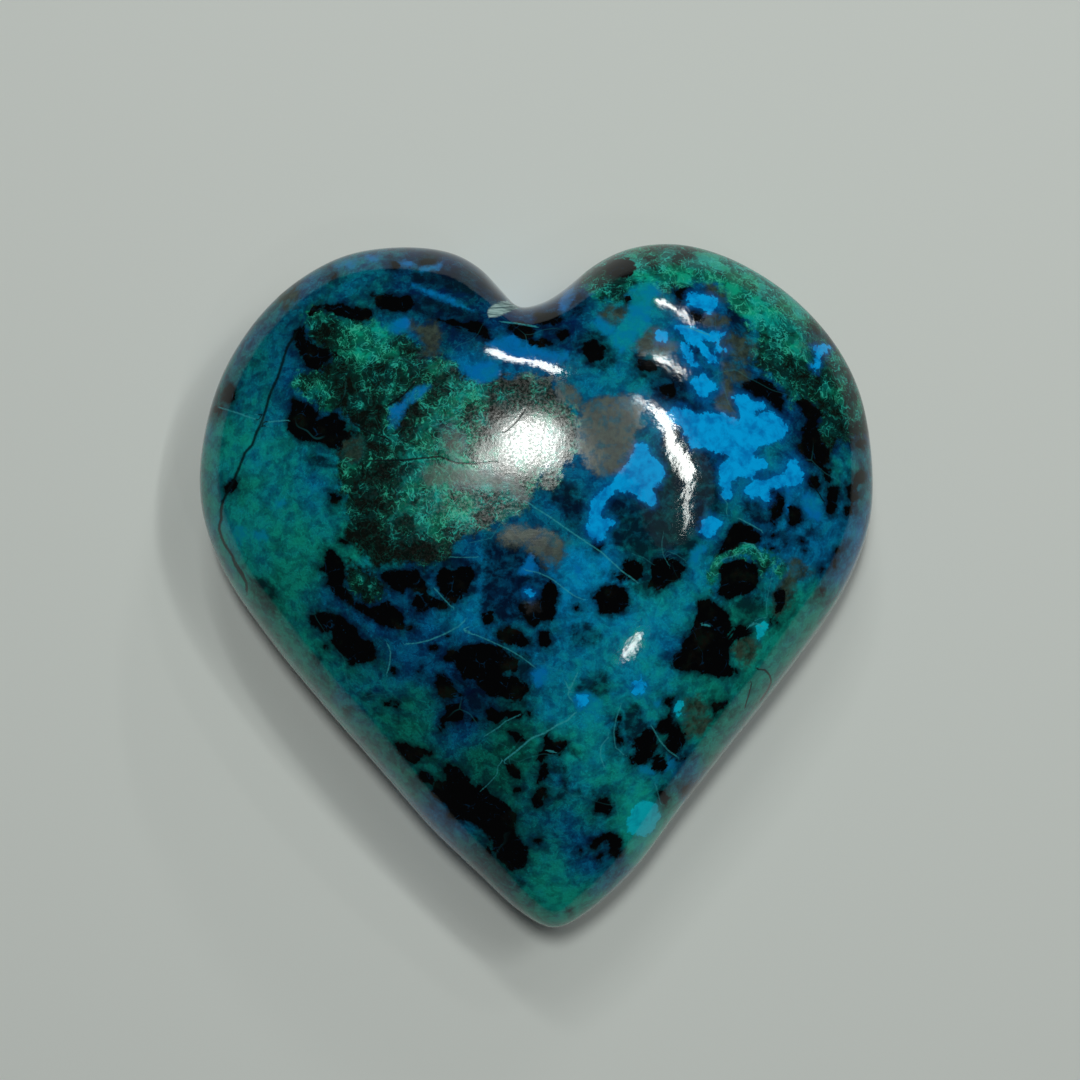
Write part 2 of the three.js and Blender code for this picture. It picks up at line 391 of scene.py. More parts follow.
POINT_TENORITE = [
    [(-16.2, -11), (-16, -10.8), (-15.2, -10.7), (-14.6, -10.8), (-14.2, -11), (-14.3, -11.5),
     (-15, -11.5), (-15.6, -11.3)],
    [(-15, -14.9), (-14.6, -14.8), (-13.8, -14.9), (-13.2, -15.2), (-12.6, -15.4), (-11.6, -15.8),
     (-11.4, -16.1), (-12.2, -16.2), (-12.7, -16.8), (-13.4, -16.8), (-14, -16.4), (-14.6, -15.9)],
    [(-10.4, -17.3), (-9.6, -17.3), (-8.8, -17.7), (-8.2, -18.4), (-7.8, -19), (-7.2, -19.6),
     (-6.6, -19.3), (-6, -19.6), (-5.8, -20.4), (-5, -20.8), (-4.4, -21), (-4, -21.6),
     (-3.6, -22.6), (-3.4, -24.2), (-2.8, -25.2), (-2.5, -25.8), (-2.5, -27), (-3, -27.6),
     (-4, -28), (-5.2, -27.2), (-5.4, -26.4), (-6, -25.4), (-6, -24.4), (-7, -23.8), (-7.6, -23.2),
     (-8, -22.6), (-9, -22.6), (-9.8, -22.4), (-10, -21.6), (-10.6, -20.8), (-11.4, -20.4),
     (-11.6, -19.6), (-11.2, -18.8), (-10, -18.8), (-10.2, -18)],
    [(-12.8, -17.8), (-12, -17.8), (-11.4, -18.4), (-11.2, -18.9), (-11.6, -19.2), (-12.4, -18.8),
     (-12.8, -18.4)],
    [(-4.2, -17.2), (-3.6, -17.4), (-3, -18.2), (-2.6, -18.8), (-3.2, -19), (-3.8, -18.7),
     (-4.2, -18)],
    [(-3.6, -19.8), (-2.6, -19.8), (-2.7, -20.1), (-3.4, -20.1)],
    [(-0.4, -14.8), (0, -14.6), (0.2, -15.2), (0.6, -15.4), (1.6, -15.4), (1.7, -16), (1.2, -16.6),
     (0, -16.8), (-0.4, -17), (-1.2, -17), (-1, -16.4), (-0.6, -16), (-0.3, -15.4)],
    [(-0.6, -17.4), (-0.2, -17.6), (0, -18.4), (-0.1, -19), (-0.6, -19.3), (-1.3, -19.4),
     (-1, -18.4)],
    [(-1.5, -20.2), (-0.6, -19.9), (-0.2, -20), (-0.6, -21.2), (-1, -21.8), (-1.7, -21.9),
     (-1.7, -21)],
    [(-1.8, -24.9), (-1, -24.9), (-1.2, -25.3), (-1.7, -25.3)],
    [(5, -21), (5.6, -20.7), (6, -21.6), (6, -22.4), (5.2, -22.7), (4.3, -22.5), (4.4, -21.8)],
    [(6.8, -13.6), (7.3, -13), (7.2, -14.4), (7.3, -15.6), (7.2, -16.2), (6.7, -16), (6.6, -15.2)],
    [(8.8, -15.4), (10, -14.6), (10.6, -15.2), (10.8, -16.2), (10.2, -17.2), (9.2, -18),
     (8.2, -17.8), (8, -17.2), (9, -16.8), (8.4, -16)],
    [(11.4, -12), (12.2, -11.6), (13, -11.6), (12.8, -12.4), (12.6, -13.2), (13, -14.2),
     (13.4, -15.2), (13.4, -16), (12.8, -16.8), (12.6, -17.4), (13.6, -17.2), (13.2, -17.8),
     (12.4, -17.6), (11.6, -16.8), (11.4, -16), (11.8, -15.4), (11, -15.2), (10.6, -14.6),
     (11.2, -13.8), (12, -13.4), (12, -12.6)],
    [(10.4, -17.4), (11.2, -17), (11.6, -17.6), (11.6, -18.4), (10.8, -18.9), (10.2, -18.6)],
    [(10.4, -20.4), (11.2, -20.4), (11.6, -21), (11.4, -22), (11, -22.6), (10.7, -21.8)],
    [(12.4, -20.4), (14.4, -20.3), (13.6, -21), (12.8, -20.8)],
    [(4, -25.2), (4.8, -24.8), (5.8, -24.6), (6.6, -25), (6.9, -25.8), (6.4, -26.8), (6, -27),
     (5.5, -26.4), (5.6, -25.8), (5.2, -25.2), (4.6, -25.5), (4.2, -26.2), (3.6, -26.1),
     (3.4, -25.8)],
    [(4.6, -26.6), (5, -26.6), (4.6, -27.2), (4.2, -27)],
    [(-6.6, -25.2), (-6.2, -25.2), (-5.8, -25.9), (-6.2, -26.2), (-6.6, -25.8)],
]
TENORITE_FLECKS = [
    (-9.2, -4.6, 0.3), (-10.7, -5.7, 0.35), (-13, -3.7, 0.3), (-12.3, -7.9, 0.3),
    (-14.9, -7.8, 0.3), (-21.3, -5.2, 0.35), (-6.9, -12.9, 0.35), (-1.7, -12.6, 0.3),
    (2.8, -26.3, 0.25), (3.5, -2.4, 0.3), (9.8, 27.6, 0.35), (27.7, 0.4, 0.4), (29.1, 2, 0.3),
    (27.4, -2, 0.35), (22.5, -4.6, 0.4), (18.2, 11.9, 0.4), (-19, 31.2, 0.3), (24.1, 3.2, 0.25),
    (23.9, 3.9, 0.2), (25.7, 3.3, 0.25), (26.6, 4.2, 0.3), (26, 2.2, 0.25), (28.9, 1, 0.4),
    (29.6, 2.2, 0.3), (22.9, 3.9, 0.25),
]
tenorite = from_above(LEFT_LOBE_TENORITE + MIDDLE_TENORITE + RIGHT_LOBE_TENORITE + POINT_TENORITE,
                      TENORITE_FLECKS)
print("tenorite covers", covered(tenorite))

# %% [markdown]
# Between the black pieces, the blue silicate is so deep and clear in places that it looks like ink.
# These are its darker pools, with softer edges than the black.

# %% Ink-blue pools
INK_POOLS = [
    [(6.8, 8.2), (8, 8.8), (9.6, 8.8), (10.6, 7.6), (11.3, 7), (11.8, 7.8), (11.6, 9), (12.3, 9.6),
     (12.7, 11), (12.2, 12.4), (12.8, 14), (14, 15), (15, 14), (15.6, 12.8), (16.8, 12.6),
     (17.8, 12), (18, 10.4), (17.8, 8.6), (18.6, 7.4), (18.6, 6.2), (17.4, 6.2), (16.4, 6.2),
     (16, 5), (16.2, 4.2), (15.4, 3.4), (14.8, 2.4), (14.4, 1), (13.6, -0.2), (12.8, -0.9),
     (11.4, -1.3), (10, -1.8), (9.2, -1.2), (8.8, -0.6), (9.6, 0.4), (10.6, 1.4), (9.4, 2.4),
     (8.4, 3), (7.4, 3.6), (7, 4.6), (6.8, 5.4), (7.6, 5.8), (7.2, 6.6), (6.6, 7.2)],
    [(-6.2, -1.4), (-4.6, -1.2), (-3, -1.6), (-2, -2), (-2.4, -2.8), (-4, -3.2), (-5, -2.2),
     (-6, -2.4)],
    [(-28.1, 1.8), (-27.4, 1.8), (-26.6, 1), (-26.1, 0.4), (-26, -0.4), (-25.8, -1.4),
     (-26.4, -1.6), (-27, -0.8), (-27.6, 0), (-28, 1)],
    [(-22.6, 13.2), (-21.5, 13.6), (-20.4, 13.6), (-19.6, 12.6), (-20.2, 12), (-21, 12.4),
     (-22, 12.3)],
    [(-22.6, -5.8), (-22, -5.9), (-21.7, -6.6), (-22.2, -7), (-22.6, -6.6)],
    [(-11.4, 31), (-9.4, 31.2), (-7.4, 31.4), (-5.6, 31.2), (-4.2, 30.2), (-3.2, 29), (-2.6, 28.2),
     (-4.4, 28.6), (-6, 29), (-7.6, 29.4), (-9.4, 29.8), (-11, 30.2)],
    [(-11.4, 28.6), (-9.6, 28.6), (-8, 27.9), (-6.4, 27.2), (-5, 26.8), (-4.2, 25.4), (-6.4, 25.6),
     (-8.4, 26.2), (-10.4, 26.8), (-11.6, 27.2)],
    [(4.2, 28.2), (5, 28.3), (5.5, 27.6), (5.3, 26.6), (4.8, 26.2), (4, 26.4), (4.2, 27.3)],
    [(19.2, 26.8), (20.2, 26.4), (21, 25.2), (21.6, 23.8), (21, 23.2), (20, 23.8), (19.6, 25),
     (19.4, 26)],
    [(-5.6, 1.6), (-4, 2.4), (-2.4, 1.6), (-3, 0.4), (-3.4, -0.4), (-4.4, -1.2), (-5.8, -1.2),
     (-5.6, 0)],
    [(3, -4), (4.2, -3.8), (5, -4.4), (5.6, -5.4), (4.6, -6.2), (3.2, -6), (2.8, -5)],
    [(20.4, 7.2), (21.6, 7.4), (22.4, 6.4), (22.6, 5.2), (21.8, 5), (20.6, 5.6)],
    [(18.8, -2.4), (20.4, -1.6), (21.8, -1.6), (21.8, -3.2), (21.4, -4.6), (20.4, -5), (19.2, -4.6),
     (18.8, -3.6)],
    [(1.6, -15.4), (2.6, -15.8), (3.2, -16.8), (2.6, -16.9), (1.6, -16.4)],
    [(1.4, -17.4), (1.8, -17.8), (2, -19.2), (1.9, -20.2), (1.2, -21), (0.6, -21.1), (1, -19.8),
     (1.2, -18.4)],
    [(7.6, -12.4), (8.8, -12.4), (9.6, -13.6), (10, -14.6), (8.8, -15.4), (7.8, -15.6),
     (7.4, -14.4), (7.4, -13.2)],
    [(3, -9.8), (5, -9), (6, -9), (6.2, -10.6), (5.8, -11.6), (4, -10.6), (3, -10.6)],
    [(-7, -6), (-2, -6.4), (-1.2, -8), (-1.6, -10), (-2, -12.4), (-6, -13.2), (-9.4, -13.2),
     (-10.4, -11), (-9.2, -8.2)],
    [(-12.6, 3.4), (-10.4, 3.6), (-8.4, 3.2), (-6.4, 2.6), (-5.8, 1.4), (-6.6, -0.4), (-7.8, -1.6),
     (-9, -1.2), (-9.6, 0.4), (-10.6, 1.4), (-11.6, 0.6), (-12.6, -0.6)],
    [(-5.4, 4.6), (-3.4, 4.4), (-1.6, 4.6), (-0.6, 3.4), (0.4, 1.8), (1.2, 0), (1, -2.2), (0, -3.8),
     (-1.6, -3.6), (-3.2, -3.2), (-4.8, -3.4), (-6.2, -3.2), (-5.6, -1.4), (-5, 0.4), (-5.4, 2.6)],
    [(1.2, 10), (2.2, 10.4), (3.4, 9.4), (4.4, 7.8), (4.4, 6.2), (3.4, 5.8), (2.4, 7), (1.4, 8.4)],
    [(4.6, 24.2), (5.6, 24.7), (6.6, 24.6), (7.4, 23.8), (7.8, 22.8), (8.1, 22.2), (8, 21.2),
     (7.2, 20.9), (6, 21), (5.2, 21.2), (4.4, 22.2), (4, 23.2)],
    [(9.4, 22.2), (10, 22.5), (11.8, 22), (13, 21), (14.8, 20), (15.2, 18.8), (15, 17.4),
     (17, 16.6), (18, 16), (16, 16), (14, 16.8), (12.6, 17.4), (11.6, 18.4), (10.8, 20),
     (10, 21.2)],
]
INK_FLECKS = [
    (-17.5, -10.2, 0.35), (-19.4, -11.7, 0.4), (-3.5, -29.3, 0.35), (-2, -31.1, 0.3),
    (1.5, -32.1, 0.3), (0.7, -18.2, 0.35), (4.1, -20.6, 0.4), (2.7, -20.6, 0.3), (3.6, -2.4, 0.35),
]
ink = from_above(INK_POOLS, INK_FLECKS)
print("ink-blue pools cover", covered(ink))

# %% [markdown]
# The youngest chrysocolla is the brightest: opaque, porcelain-like azure on the right lobe, and
# turquoise near the notch and the point. Its edges are the crispest of all. Quieter patches of it,
# mostly on the left lobe, lie deeper in the clear blue and have softer edges.

# %% Bright chrysocolla
BRIGHT_PATCHES = [
    [(10, 13.4), (10.8, 13.2), (11.4, 12.4), (12, 11.4), (12.6, 11), (12.4, 10), (12, 9.4),
     (11, 9.2), (11.5, 8), (11.6, 7.4), (11.2, 7.1), (10.6, 7.6), (10, 8.4), (9.2, 8.8), (8, 8.8),
     (7.2, 8.6), (6.6, 8.2), (6.6, 7.4), (6, 6.6), (6.2, 6), (7.2, 6.2), (7.4, 5.7), (6.4, 5.4),
     (6.6, 4.2), (5.2, 4.2), (4.8, 4.6), (5, 6), (5.2, 7.4), (6, 8.6), (7, 9.6), (8.4, 10.6),
     (9.2, 11.4), (9.8, 12.4)],
    [(13.2, 16.6), (14.4, 16.6), (16, 16.2), (17.6, 16.2), (18.8, 15.9), (20, 15), (20.3, 16),
     (20, 16.6), (19.5, 17.4), (20, 18), (20.8, 17.6), (21.6, 17), (22.6, 17), (22.8, 16.4),
     (21.6, 15.8), (21.8, 15.6), (23.2, 16), (24, 15.4), (24.6, 14.8), (24.8, 14), (24, 13.2),
     (23, 13), (22, 12.6), (21.5, 12), (21.5, 11.4), (22.4, 11.4), (22.9, 11), (22.6, 10.5),
     (21.6, 10.4), (21.2, 9.8), (20.4, 9.7), (19.8, 9.9), (19.3, 9.4), (19, 8.4), (18.5, 7.8),
     (18.1, 8.5), (17.9, 9.6), (18, 10.6), (18.5, 11.2), (18.9, 11.7), (18.6, 12.1), (17.6, 12.3),
     (16.8, 12.6), (15.6, 12.8), (15, 14), (14, 15.2), (12.8, 15.8)],
    [(15.5, 27.4), (16, 27.9), (17.2, 27.7), (18.2, 27.2), (18.6, 26.3), (17.6, 26), (16.6, 26.4),
     (15.6, 26.8)],
    [(14.2, 24.6), (15, 24.8), (16, 24.6), (17, 24), (19, 23.9), (18.6, 23.2), (17.2, 23.2),
     (16, 23), (15.2, 23.4), (14.8, 24)],
    [(14.6, 23.2), (15.4, 22.8), (15.8, 21.8), (16.4, 20.8), (15.6, 20.6), (15, 21.6)],
    [(16.6, 23.2), (17.4, 22.6), (17.4, 22), (18, 21.4), (18.2, 20.8), (17.6, 20.9), (16.8, 22)],
    [(18, 22.6), (19.4, 22.3), (19.2, 21.9), (18, 22.2)],
    [(15.8, 19.6), (16.8, 19.8), (18, 19), (18.4, 18.4), (17.4, 18), (17, 17.4), (16.2, 18),
     (15.6, 18.8)],
    [(12.4, 24.2), (13.2, 24.4), (13.8, 23.8), (13.4, 23.1), (12.6, 23.3)],
    [(20.4, 8.2), (20.9, 9), (21.6, 9.3), (22.6, 9.2), (23.2, 9.5), (23.9, 9.6), (24.4, 9.4),
     (24.5, 10.4), (24.8, 11.2), (25.3, 11.4), (25.9, 10.9), (26.2, 9.8), (26.1, 8.8), (25.4, 8.4),
     (24.6, 8.7), (23.8, 8.5), (23, 8.6), (22.7, 7.9), (22.6, 7.1), (22.2, 6.8), (21.9, 7.6),
     (21.2, 7.6)],
    [(16, 5.4), (16.8, 6), (17.8, 5.8), (18, 5.2), (17.4, 4.6), (16.8, 3.8), (16.4, 4), (16, 4.6)],
    [(8.6, -10), (9.4, -9.4), (9.8, -10), (9.6, -11), (8.8, -10.9)],
    [(21, -4.8), (21.8, -4.8), (21.6, -6), (21, -6.2)],
    [(27.8, 22.2), (29.4, 22), (28.6, 21.2), (28.4, 20.4), (28, 20), (27.6, 20.2), (27.9, 21.2)],
    [(7.4, -23.2), (8.4, -22), (9.4, -21.6), (10.4, -22), (10.8, -23), (10, -24.4), (8.8, -25),
     (7.6, -24.4)],
]
BRIGHT_FLECKS = [(3.6, -11.7, 0.6), (13, -12.4, 0.4), (13.1, -13.4, 0.3), (-1.2, -0.8, 0.4)]
QUIET_PATCHES = [
    [(3.4, 1.8), (4.2, 1.6), (4.2, 0.6), (3.4, 0.6)],
    [(10.6, -11.8), (11.2, -11.8), (11.1, -12.6), (10.6, -12.6)],
    [(6, 25.6), (6.8, 25.9), (7.8, 25.2), (8.6, 24.8), (8, 24.2), (7.2, 24.4), (6.4, 25)],
    [(3.2, 28.2), (4.4, 29.2), (4.6, 28.4), (4, 27.6), (3.4, 26.4), (3, 27.2)],
    [(-7, 22.2), (-5.9, 21.8), (-4.6, 22), (-3.9, 22.2), (-3.2, 21.5), (-3.4, 20.5), (-4.3, 20.2),
     (-5.1, 20.1), (-5.9, 20.6), (-6.6, 21.4)],
    [(-13.6, 26.4), (-12.1, 26.8), (-11.7, 26.1), (-12.2, 25.5), (-13, 25.2), (-13.7, 25.6)],
    [(-11.3, 29.9), (-10.2, 29.6), (-8.6, 28.9), (-7.3, 28.4), (-6.2, 27.6), (-5.4, 27.2),
     (-5.9, 27.2), (-7.1, 27.8), (-8, 28.1), (-9.5, 28.8), (-10.6, 29.3)],
    [(-18.9, 32.1), (-17.7, 32.7), (-16.8, 32.9), (-16.2, 32.5), (-16.8, 31.9), (-18.3, 31.7)],
    [(-15.8, 33), (-14.4, 32.9), (-14.4, 32.3), (-15.4, 32.3)],
    [(-12.7, 32.3), (-11.2, 32.2), (-11, 31.8), (-12.4, 31.7)],
    [(-11, 31.6), (-9, 31.8), (-8.2, 32), (-8.8, 31.3), (-10.4, 31.1)],
    [(10, 28.8), (12.6, 29), (13, 28.2), (12, 27.2), (12, 26), (11.8, 25), (10.8, 24.2), (9.8, 23),
     (8.8, 22.4), (8, 23.2), (7.8, 24), (8.8, 25), (9.8, 26), (10, 27.2), (9.6, 28)],
    [(-14.2, 17.1), (-13.9, 17.9), (-13, 18.4), (-12, 19.3), (-11.6, 19.9), (-10.6, 20), (-9.9, 20),
     (-10.2, 19.4), (-11, 18.9), (-11.8, 18.4), (-12.6, 17.5), (-13.1, 16.8), (-13.6, 16.1),
     (-14.2, 16.2)],
    [(-1.6, 2.4), (-0.8, 3), (-0.4, 2), (-0.2, 1.2), (-1.4, 1), (-2.2, 1.2)],
    [(-29.6, 7), (-28.8, 6.8), (-28.6, 6), (-29.2, 5), (-29.8, 5.8)],
    [(-4, 23.8), (-2.8, 24.5), (-1.6, 24.7), (-0.6, 24), (1, 23.3), (2.6, 22.9), (3.8, 22.8),
     (3.8, 22), (2, 21.4), (0.4, 21.9), (-1.8, 22.3), (-3.4, 23)],
    [(26, 8), (26.8, 7.8), (27.6, 7), (27.9, 6), (27.4, 5.2), (26.6, 5.4), (26, 6.2), (25.8, 7)],
    [(24.4, 8.4), (24.9, 8.4), (24.8, 7), (24.6, 5.8), (24.3, 6.4), (24.5, 7.4)],
    [(3, -11), (4, -10.6), (4.8, -11.2), (5.8, -11.4), (5.4, -12.4), (4.2, -12.8), (3.2, -12.4),
     (2.6, -11.8)],
    [(14.9, 2.6), (15.8, 3.3), (16.6, 3.2), (15.8, 2), (15.1, 0.8), (14.7, 1.2)],
    [(11.6, -17.2), (12.4, -17.6), (12.2, -18.8), (11.4, -18.8)],
    [(8.8, -18.2), (10.2, -18.4), (10.4, -19), (9, -19)],
]
QUIET_FLECKS = [(-25.2, 9.1, 0.6), (-27.2, 6, 0.7), (-0.4, -9, 0.9)]
bright = from_above(BRIGHT_PATCHES, BRIGHT_FLECKS)
quiet = from_above(QUIET_PATCHES, QUIET_FLECKS)
print("bright patches cover", covered(bright), "and quiet ones", covered(quiet))

# %% [markdown]
# Malachite grew as moss: a lace of fine green curls in a green-black ground, over the left lobe,
# round the right lobe's rim, and as a ring about one black piece.

# %% Malachite moss
MOSS_ZONES = [
    [(-21.6, 28), (-20.4, 28.3), (-18.6, 27.2), (-16, 26.4), (-15.2, 26.6), (-14, 25.4), (-12, 25),
     (-10.6, 24.2), (-10, 22.8), (-8.8, 23), (-7.2, 22.2), (-6.4, 20.6), (-4.6, 20), (-3, 20.6),
     (0, 20.8), (2, 20), (2.6, 18.6), (4, 17.2), (4.4, 15.4), (4.4, 13.2), (3.4, 11.6), (1.6, 12),
     (0.4, 10.6), (-0.6, 9), (-1, 7.2), (-3.4, 6.6), (-6, 5.4), (-8, 4.6), (-9.4, 3), (-11, 2.4),
     (-14, 2.6), (-16, 2.6), (-17.6, 4), (-19, 5), (-19.2, 6.4), (-18.4, 7.4), (-18.8, 8.6),
     (-18.4, 9.6), (-19.2, 10), (-19.6, 11.4), (-19.4, 13), (-18.8, 14), (-17.6, 15.3), (-17.4, 16),
     (-18.2, 17), (-19, 17.9), (-20, 17.7), (-21, 18.3), (-22, 19), (-23, 19.6), (-23.4, 20.6),
     (-22.8, 21.8), (-21.8, 21.6), (-21, 22.2), (-20.2, 22.8), (-19.2, 23.4), (-20.4, 24.1),
     (-21.2, 24.8), (-21.8, 25.6), (-22, 26.8)],
    [(5.4, 30.6), (6.6, 32), (8, 33), (12, 34), (16, 33.8), (20, 32.4), (24, 29.4), (27.6, 26),
     (30, 23.6), (31.6, 20), (33.2, 16), (33.2, 13.4), (31.4, 13), (29.8, 12.4), (28.6, 11.6),
     (27.8, 12.8), (27.6, 14.4), (28.2, 15.6), (27.2, 16.8), (26.2, 17), (25.2, 16), (24.9, 17.4),
     (24.2, 18.4), (23, 19.6), (21.8, 20.6), (21.6, 22), (22.4, 22.8), (21.8, 24.2), (21, 25.4),
     (20, 26.4), (19.4, 27.4), (18.4, 28.8), (16.4, 28.8), (14.4, 28.3), (12.8, 28.3), (12.4, 29),
     (10.6, 28.8), (10, 27.8), (8.6, 27.4), (7, 27.6), (5.8, 28.6), (5, 29.6)],
    [(-19, 3.4), (-18.2, 2.6), (-16.8, 2.4), (-16, 1.4), (-15.2, 0.6), (-15, -0.4), (-15.8, -1),
     (-17.4, -0.8), (-18.6, 0), (-19.2, 1.2)],
    [(16.6, 1.2), (17.4, 2.2), (18.6, 2.8), (20, 3.3), (21, 3.2), (21.8, 2.6), (22.8, 2.6),
     (23.2, 1.8), (22.8, 0.6), (22.2, -0.2), (21.2, 0), (21.4, 0.9), (20.8, 1.5), (19.6, 1.7),
     (18.2, 1.5), (17.6, 0.8), (17, -0.6), (16.8, -1.8), (16.4, -1.4), (16.3, 0)],
    [(23.2, 1), (24.2, 1.2), (24.4, 0.2), (23.6, -0.4), (23, 0)],
    [(1.6, 12), (2.8, 11.8), (2.6, 10.6), (1.8, 9.6), (0.6, 9.2), (0.2, 10.2)],
]
moss = from_above(MOSS_ZONES)
print("moss covers", covered(moss))

# %% [markdown]
# The moss is thick and bright in some places, and only a few wisps in the dark in others. Spots
# with a place, a reach and a thickness are blended by nearness. Between them it is half thick.

# %% Thickness of the moss
FALL_OFF = 0.7
MOSS_THICKNESS = [
    (-16, 24.6, 2.2, 0.75), (-13.6, 23.6, 1.6, 0.65), (-21, 20.6, 1, 0.6), (-20.8, 27, 0.8, 0.7),
    (-10, 8, 2.6, 0.8), (-7.5, 8.4, 2, 0.8), (-12.4, 10.6, 1.6, 0.6), (-10.6, 14.3, 1.4, 0.8),
    (-6.4, 18.6, 1.3, 0.8), (-3.7, 8.5, 1, 0.8), (-13, 21.4, 1.4, 0.55), (-9.6, 20.6, 1.4, 0.5),
    (-14.6, 18.4, 1.4, 0.4), (-16.4, 12, 1.6, 0.35), (-2, 12, 2, 0.6), (0, 17.4, 1.8, 0.4),
    (2.6, 14, 1, 0.5), (-18.9, 21.7, 1, 0.04), (-15.6, 21, 0.9, 0.08), (-19.6, 25.8, 1, 0.12),
    (-15.5, 5.2, 2.4, 0.08), (-18.2, 3.8, 1, 0.08), (-17.8, 7.4, 1.2, 0.2), (-9.4, 3.4, 1.6, 0.05),
    (-12.6, 3.4, 1.4, 0.05), (-5.4, 6.4, 1, 0.2), (-18, 10.4, 1, 0.25), (-2.4, 18.4, 1.4, 0.25),
    (-16.8, 15.4, 1, 0.1), (-17.6, 19.2, 0.8, 0.15), (-12.2, 16.4, 0.8, 0.25), (-10, 23.6, 1, 0.3),
    (-7, 21.4, 0.8, 0.3), (12, 31.4, 2.5, 0.85), (18, 30.4, 2.5, 1.05), (22.6, 26.6, 2, 0.95),
    (25.6, 22.8, 1.4, 0.9), (15, 32.6, 1.4, 0.6), (8, 29, 1.2, 0.45), (6.6, 30.4, 1, 0.4),
    (24, 20.6, 1.2, 0.45), (26.4, 18.8, 1.4, 0.4), (29.4, 14.4, 1.2, 0.3), (30.4, 17.6, 1.4, 0.5),
    (28.2, 22.8, 1, 0.3), (31.8, 20, 1.2, 0.6), (20.6, 28, 1.2, 0.85), (22.4, 21.6, 0.8, 0.3),
    (12.4, 32.2, 0.8, 0.3), (17.2, 1, 0.8, 0.8), (19.6, 2.6, 0.8, 0.7), (22, 1.6, 0.9, 0.55),
    (23.7, 0.4, 0.5, 0.8), (-17.2, 0.8, 1.2, 0.25),
]
weights = [(np.exp(-FALL_OFF * ((seen[:, 0] - x) ** 2 + (seen[:, 1] - y) ** 2) / reach ** 2), share)
           for x, y, reach, share in MOSS_THICKNESS]
thickness = (sum(weight * share for weight, share in weights) + 0.0005) / (
    sum(weight for weight, share in weights) + 0.001)
print("moss thickness from", span(thickness))

# %% [markdown]
# Cuprite, red-brown copper oxide, and the olive-brown of iron stains fill a few rounded gaps.

# %% Brown stains
BROWN_STAINS = [
    [(13.4, -12.6), (14, -12), (15, -11.9), (15.6, -12.6), (15.9, -13.8), (15.6, -14.8),
     (14.8, -15.4), (14, -15.4), (13.4, -14.8), (13.6, -14.2), (13.2, -13.4)],
    [(-11.6, 26.2), (-10.3, 26), (-9.1, 25.8), (-8.8, 25), (-9.2, 24), (-8.9, 23.2), (-9.9, 22.8),
     (-10.6, 22.9), (-10.3, 23.8), (-10.8, 24.9), (-11.6, 25.4)],
    [(-18.8, 15.1), (-17.2, 15), (-16.8, 14.2), (-17.2, 13.2), (-18, 12.8), (-18.8, 13.6)],
    [(5, 17.2), (6.2, 18), (8, 18.2), (9.6, 17.8), (10.4, 17), (10.6, 15.6), (10, 14.4), (9.6, 13),
     (9, 11.6), (8.2, 10.8), (7, 10.4), (5.4, 11), (4.6, 12.4), (4.4, 14), (4.5, 15.8)],
    [(7, 26.6), (8, 26.8), (9.2, 26.8), (9.4, 26.2), (8.8, 25.5), (8, 25.4), (7.3, 26)],
    [(10, 22.6), (10.8, 23.4), (12, 24.6), (12.8, 24.6), (14.2, 23.2), (14.6, 22.4), (13, 22.2),
     (11.4, 22.4)],
    [(2.2, 20), (3.2, 19.8), (4.2, 19), (4.6, 18), (4.2, 17.2), (3.4, 17.6), (2.6, 18.8)],
    [(17.2, 25.8), (18.4, 25.9), (19.2, 25.4), (19.4, 24.8), (18.6, 24.4), (17.6, 24.6),
     (17, 25.2)],
    [(17, 28.8), (18.2, 28.6), (19.6, 27.8), (19.2, 27), (18.4, 27.4), (17.4, 28)],
    [(18.2, 23), (19.6, 23.8), (20.8, 23.4), (22, 22.6), (21.9, 21.6), (20.8, 21.2), (19.8, 21.2),
     (18.8, 21.8)],
    [(18.4, 19), (19.4, 19.2), (19.8, 18), (19.6, 16.8), (20.2, 15.4), (19.8, 15.1), (18.8, 16),
     (18, 16.4), (18.2, 17.4), (18.6, 18.2)],
    [(18.8, 21), (20, 20.6), (21.2, 19.6), (21.4, 18.6), (20.2, 19), (19.2, 19.6)],
    [(25.8, 22.8), (27.4, 23), (29.2, 23.4), (28.6, 22.4), (27.6, 22.2), (27.3, 21), (26.8, 21.8)],
    [(18.8, -6.4), (20, -6), (20.8, -6.4), (20.8, -7.4), (20.4, -8.4), (19.6, -8.7), (18.8, -7.8)],
    [(24.2, 1.4), (25.2, 1.4), (26, 0.4), (26.4, 0), (25.2, -0.8), (24.4, -2), (23.8, -3.4),
     (23, -3.8), (22.8, -3), (23.2, -1.8), (23.6, -0.8), (24.2, 0.2)],
    [(-4.2, 5.4), (-2.4, 5.8), (0, 5.6), (1.6, 5), (2.6, 4), (2.3, 2.6), (1.5, 1.7), (0.5, 1.9),
     (-0.3, 3), (-1.4, 3.7), (-3, 4)],
    [(-24.6, 29.4), (-22.7, 30.6), (-22.6, 29.5), (-22.9, 28.8), (-23.4, 28.1), (-23.9, 28.5)],
    [(-9, 15.6), (-8.1, 15.7), (-7.3, 15), (-7.3, 14), (-7.8, 13.2), (-8.5, 13.4), (-9.1, 14.3)],
    [(-1.6, -1.8), (-0.4, -1.8), (-0.3, -2.4), (-1.4, -2.6)],
    [(-11, 12), (-8, 12.2), (-6, 11.4), (-4, 11), (-2, 10), (-1, 8.4), (-2.6, 9.4), (-4.6, 10),
     (-6.4, 10), (-9, 10.2), (-11, 10.4)],
]
brown = from_above(BROWN_STAINS)
print("brown stains cover", covered(brown))

# %% [markdown]
# Late hairlines cross everything: healed ones filled with pale silica, and open ones that look
# dark. A hairline is thinner than the spacing of the skin's points, so a second number is kept for
# it: how far a point lies to the left of the line, or to its right. The line is where that changes
# sign. The lines stay on the upper side, and thin out at both ends.

# %% Hairlines
LINES_END = 8


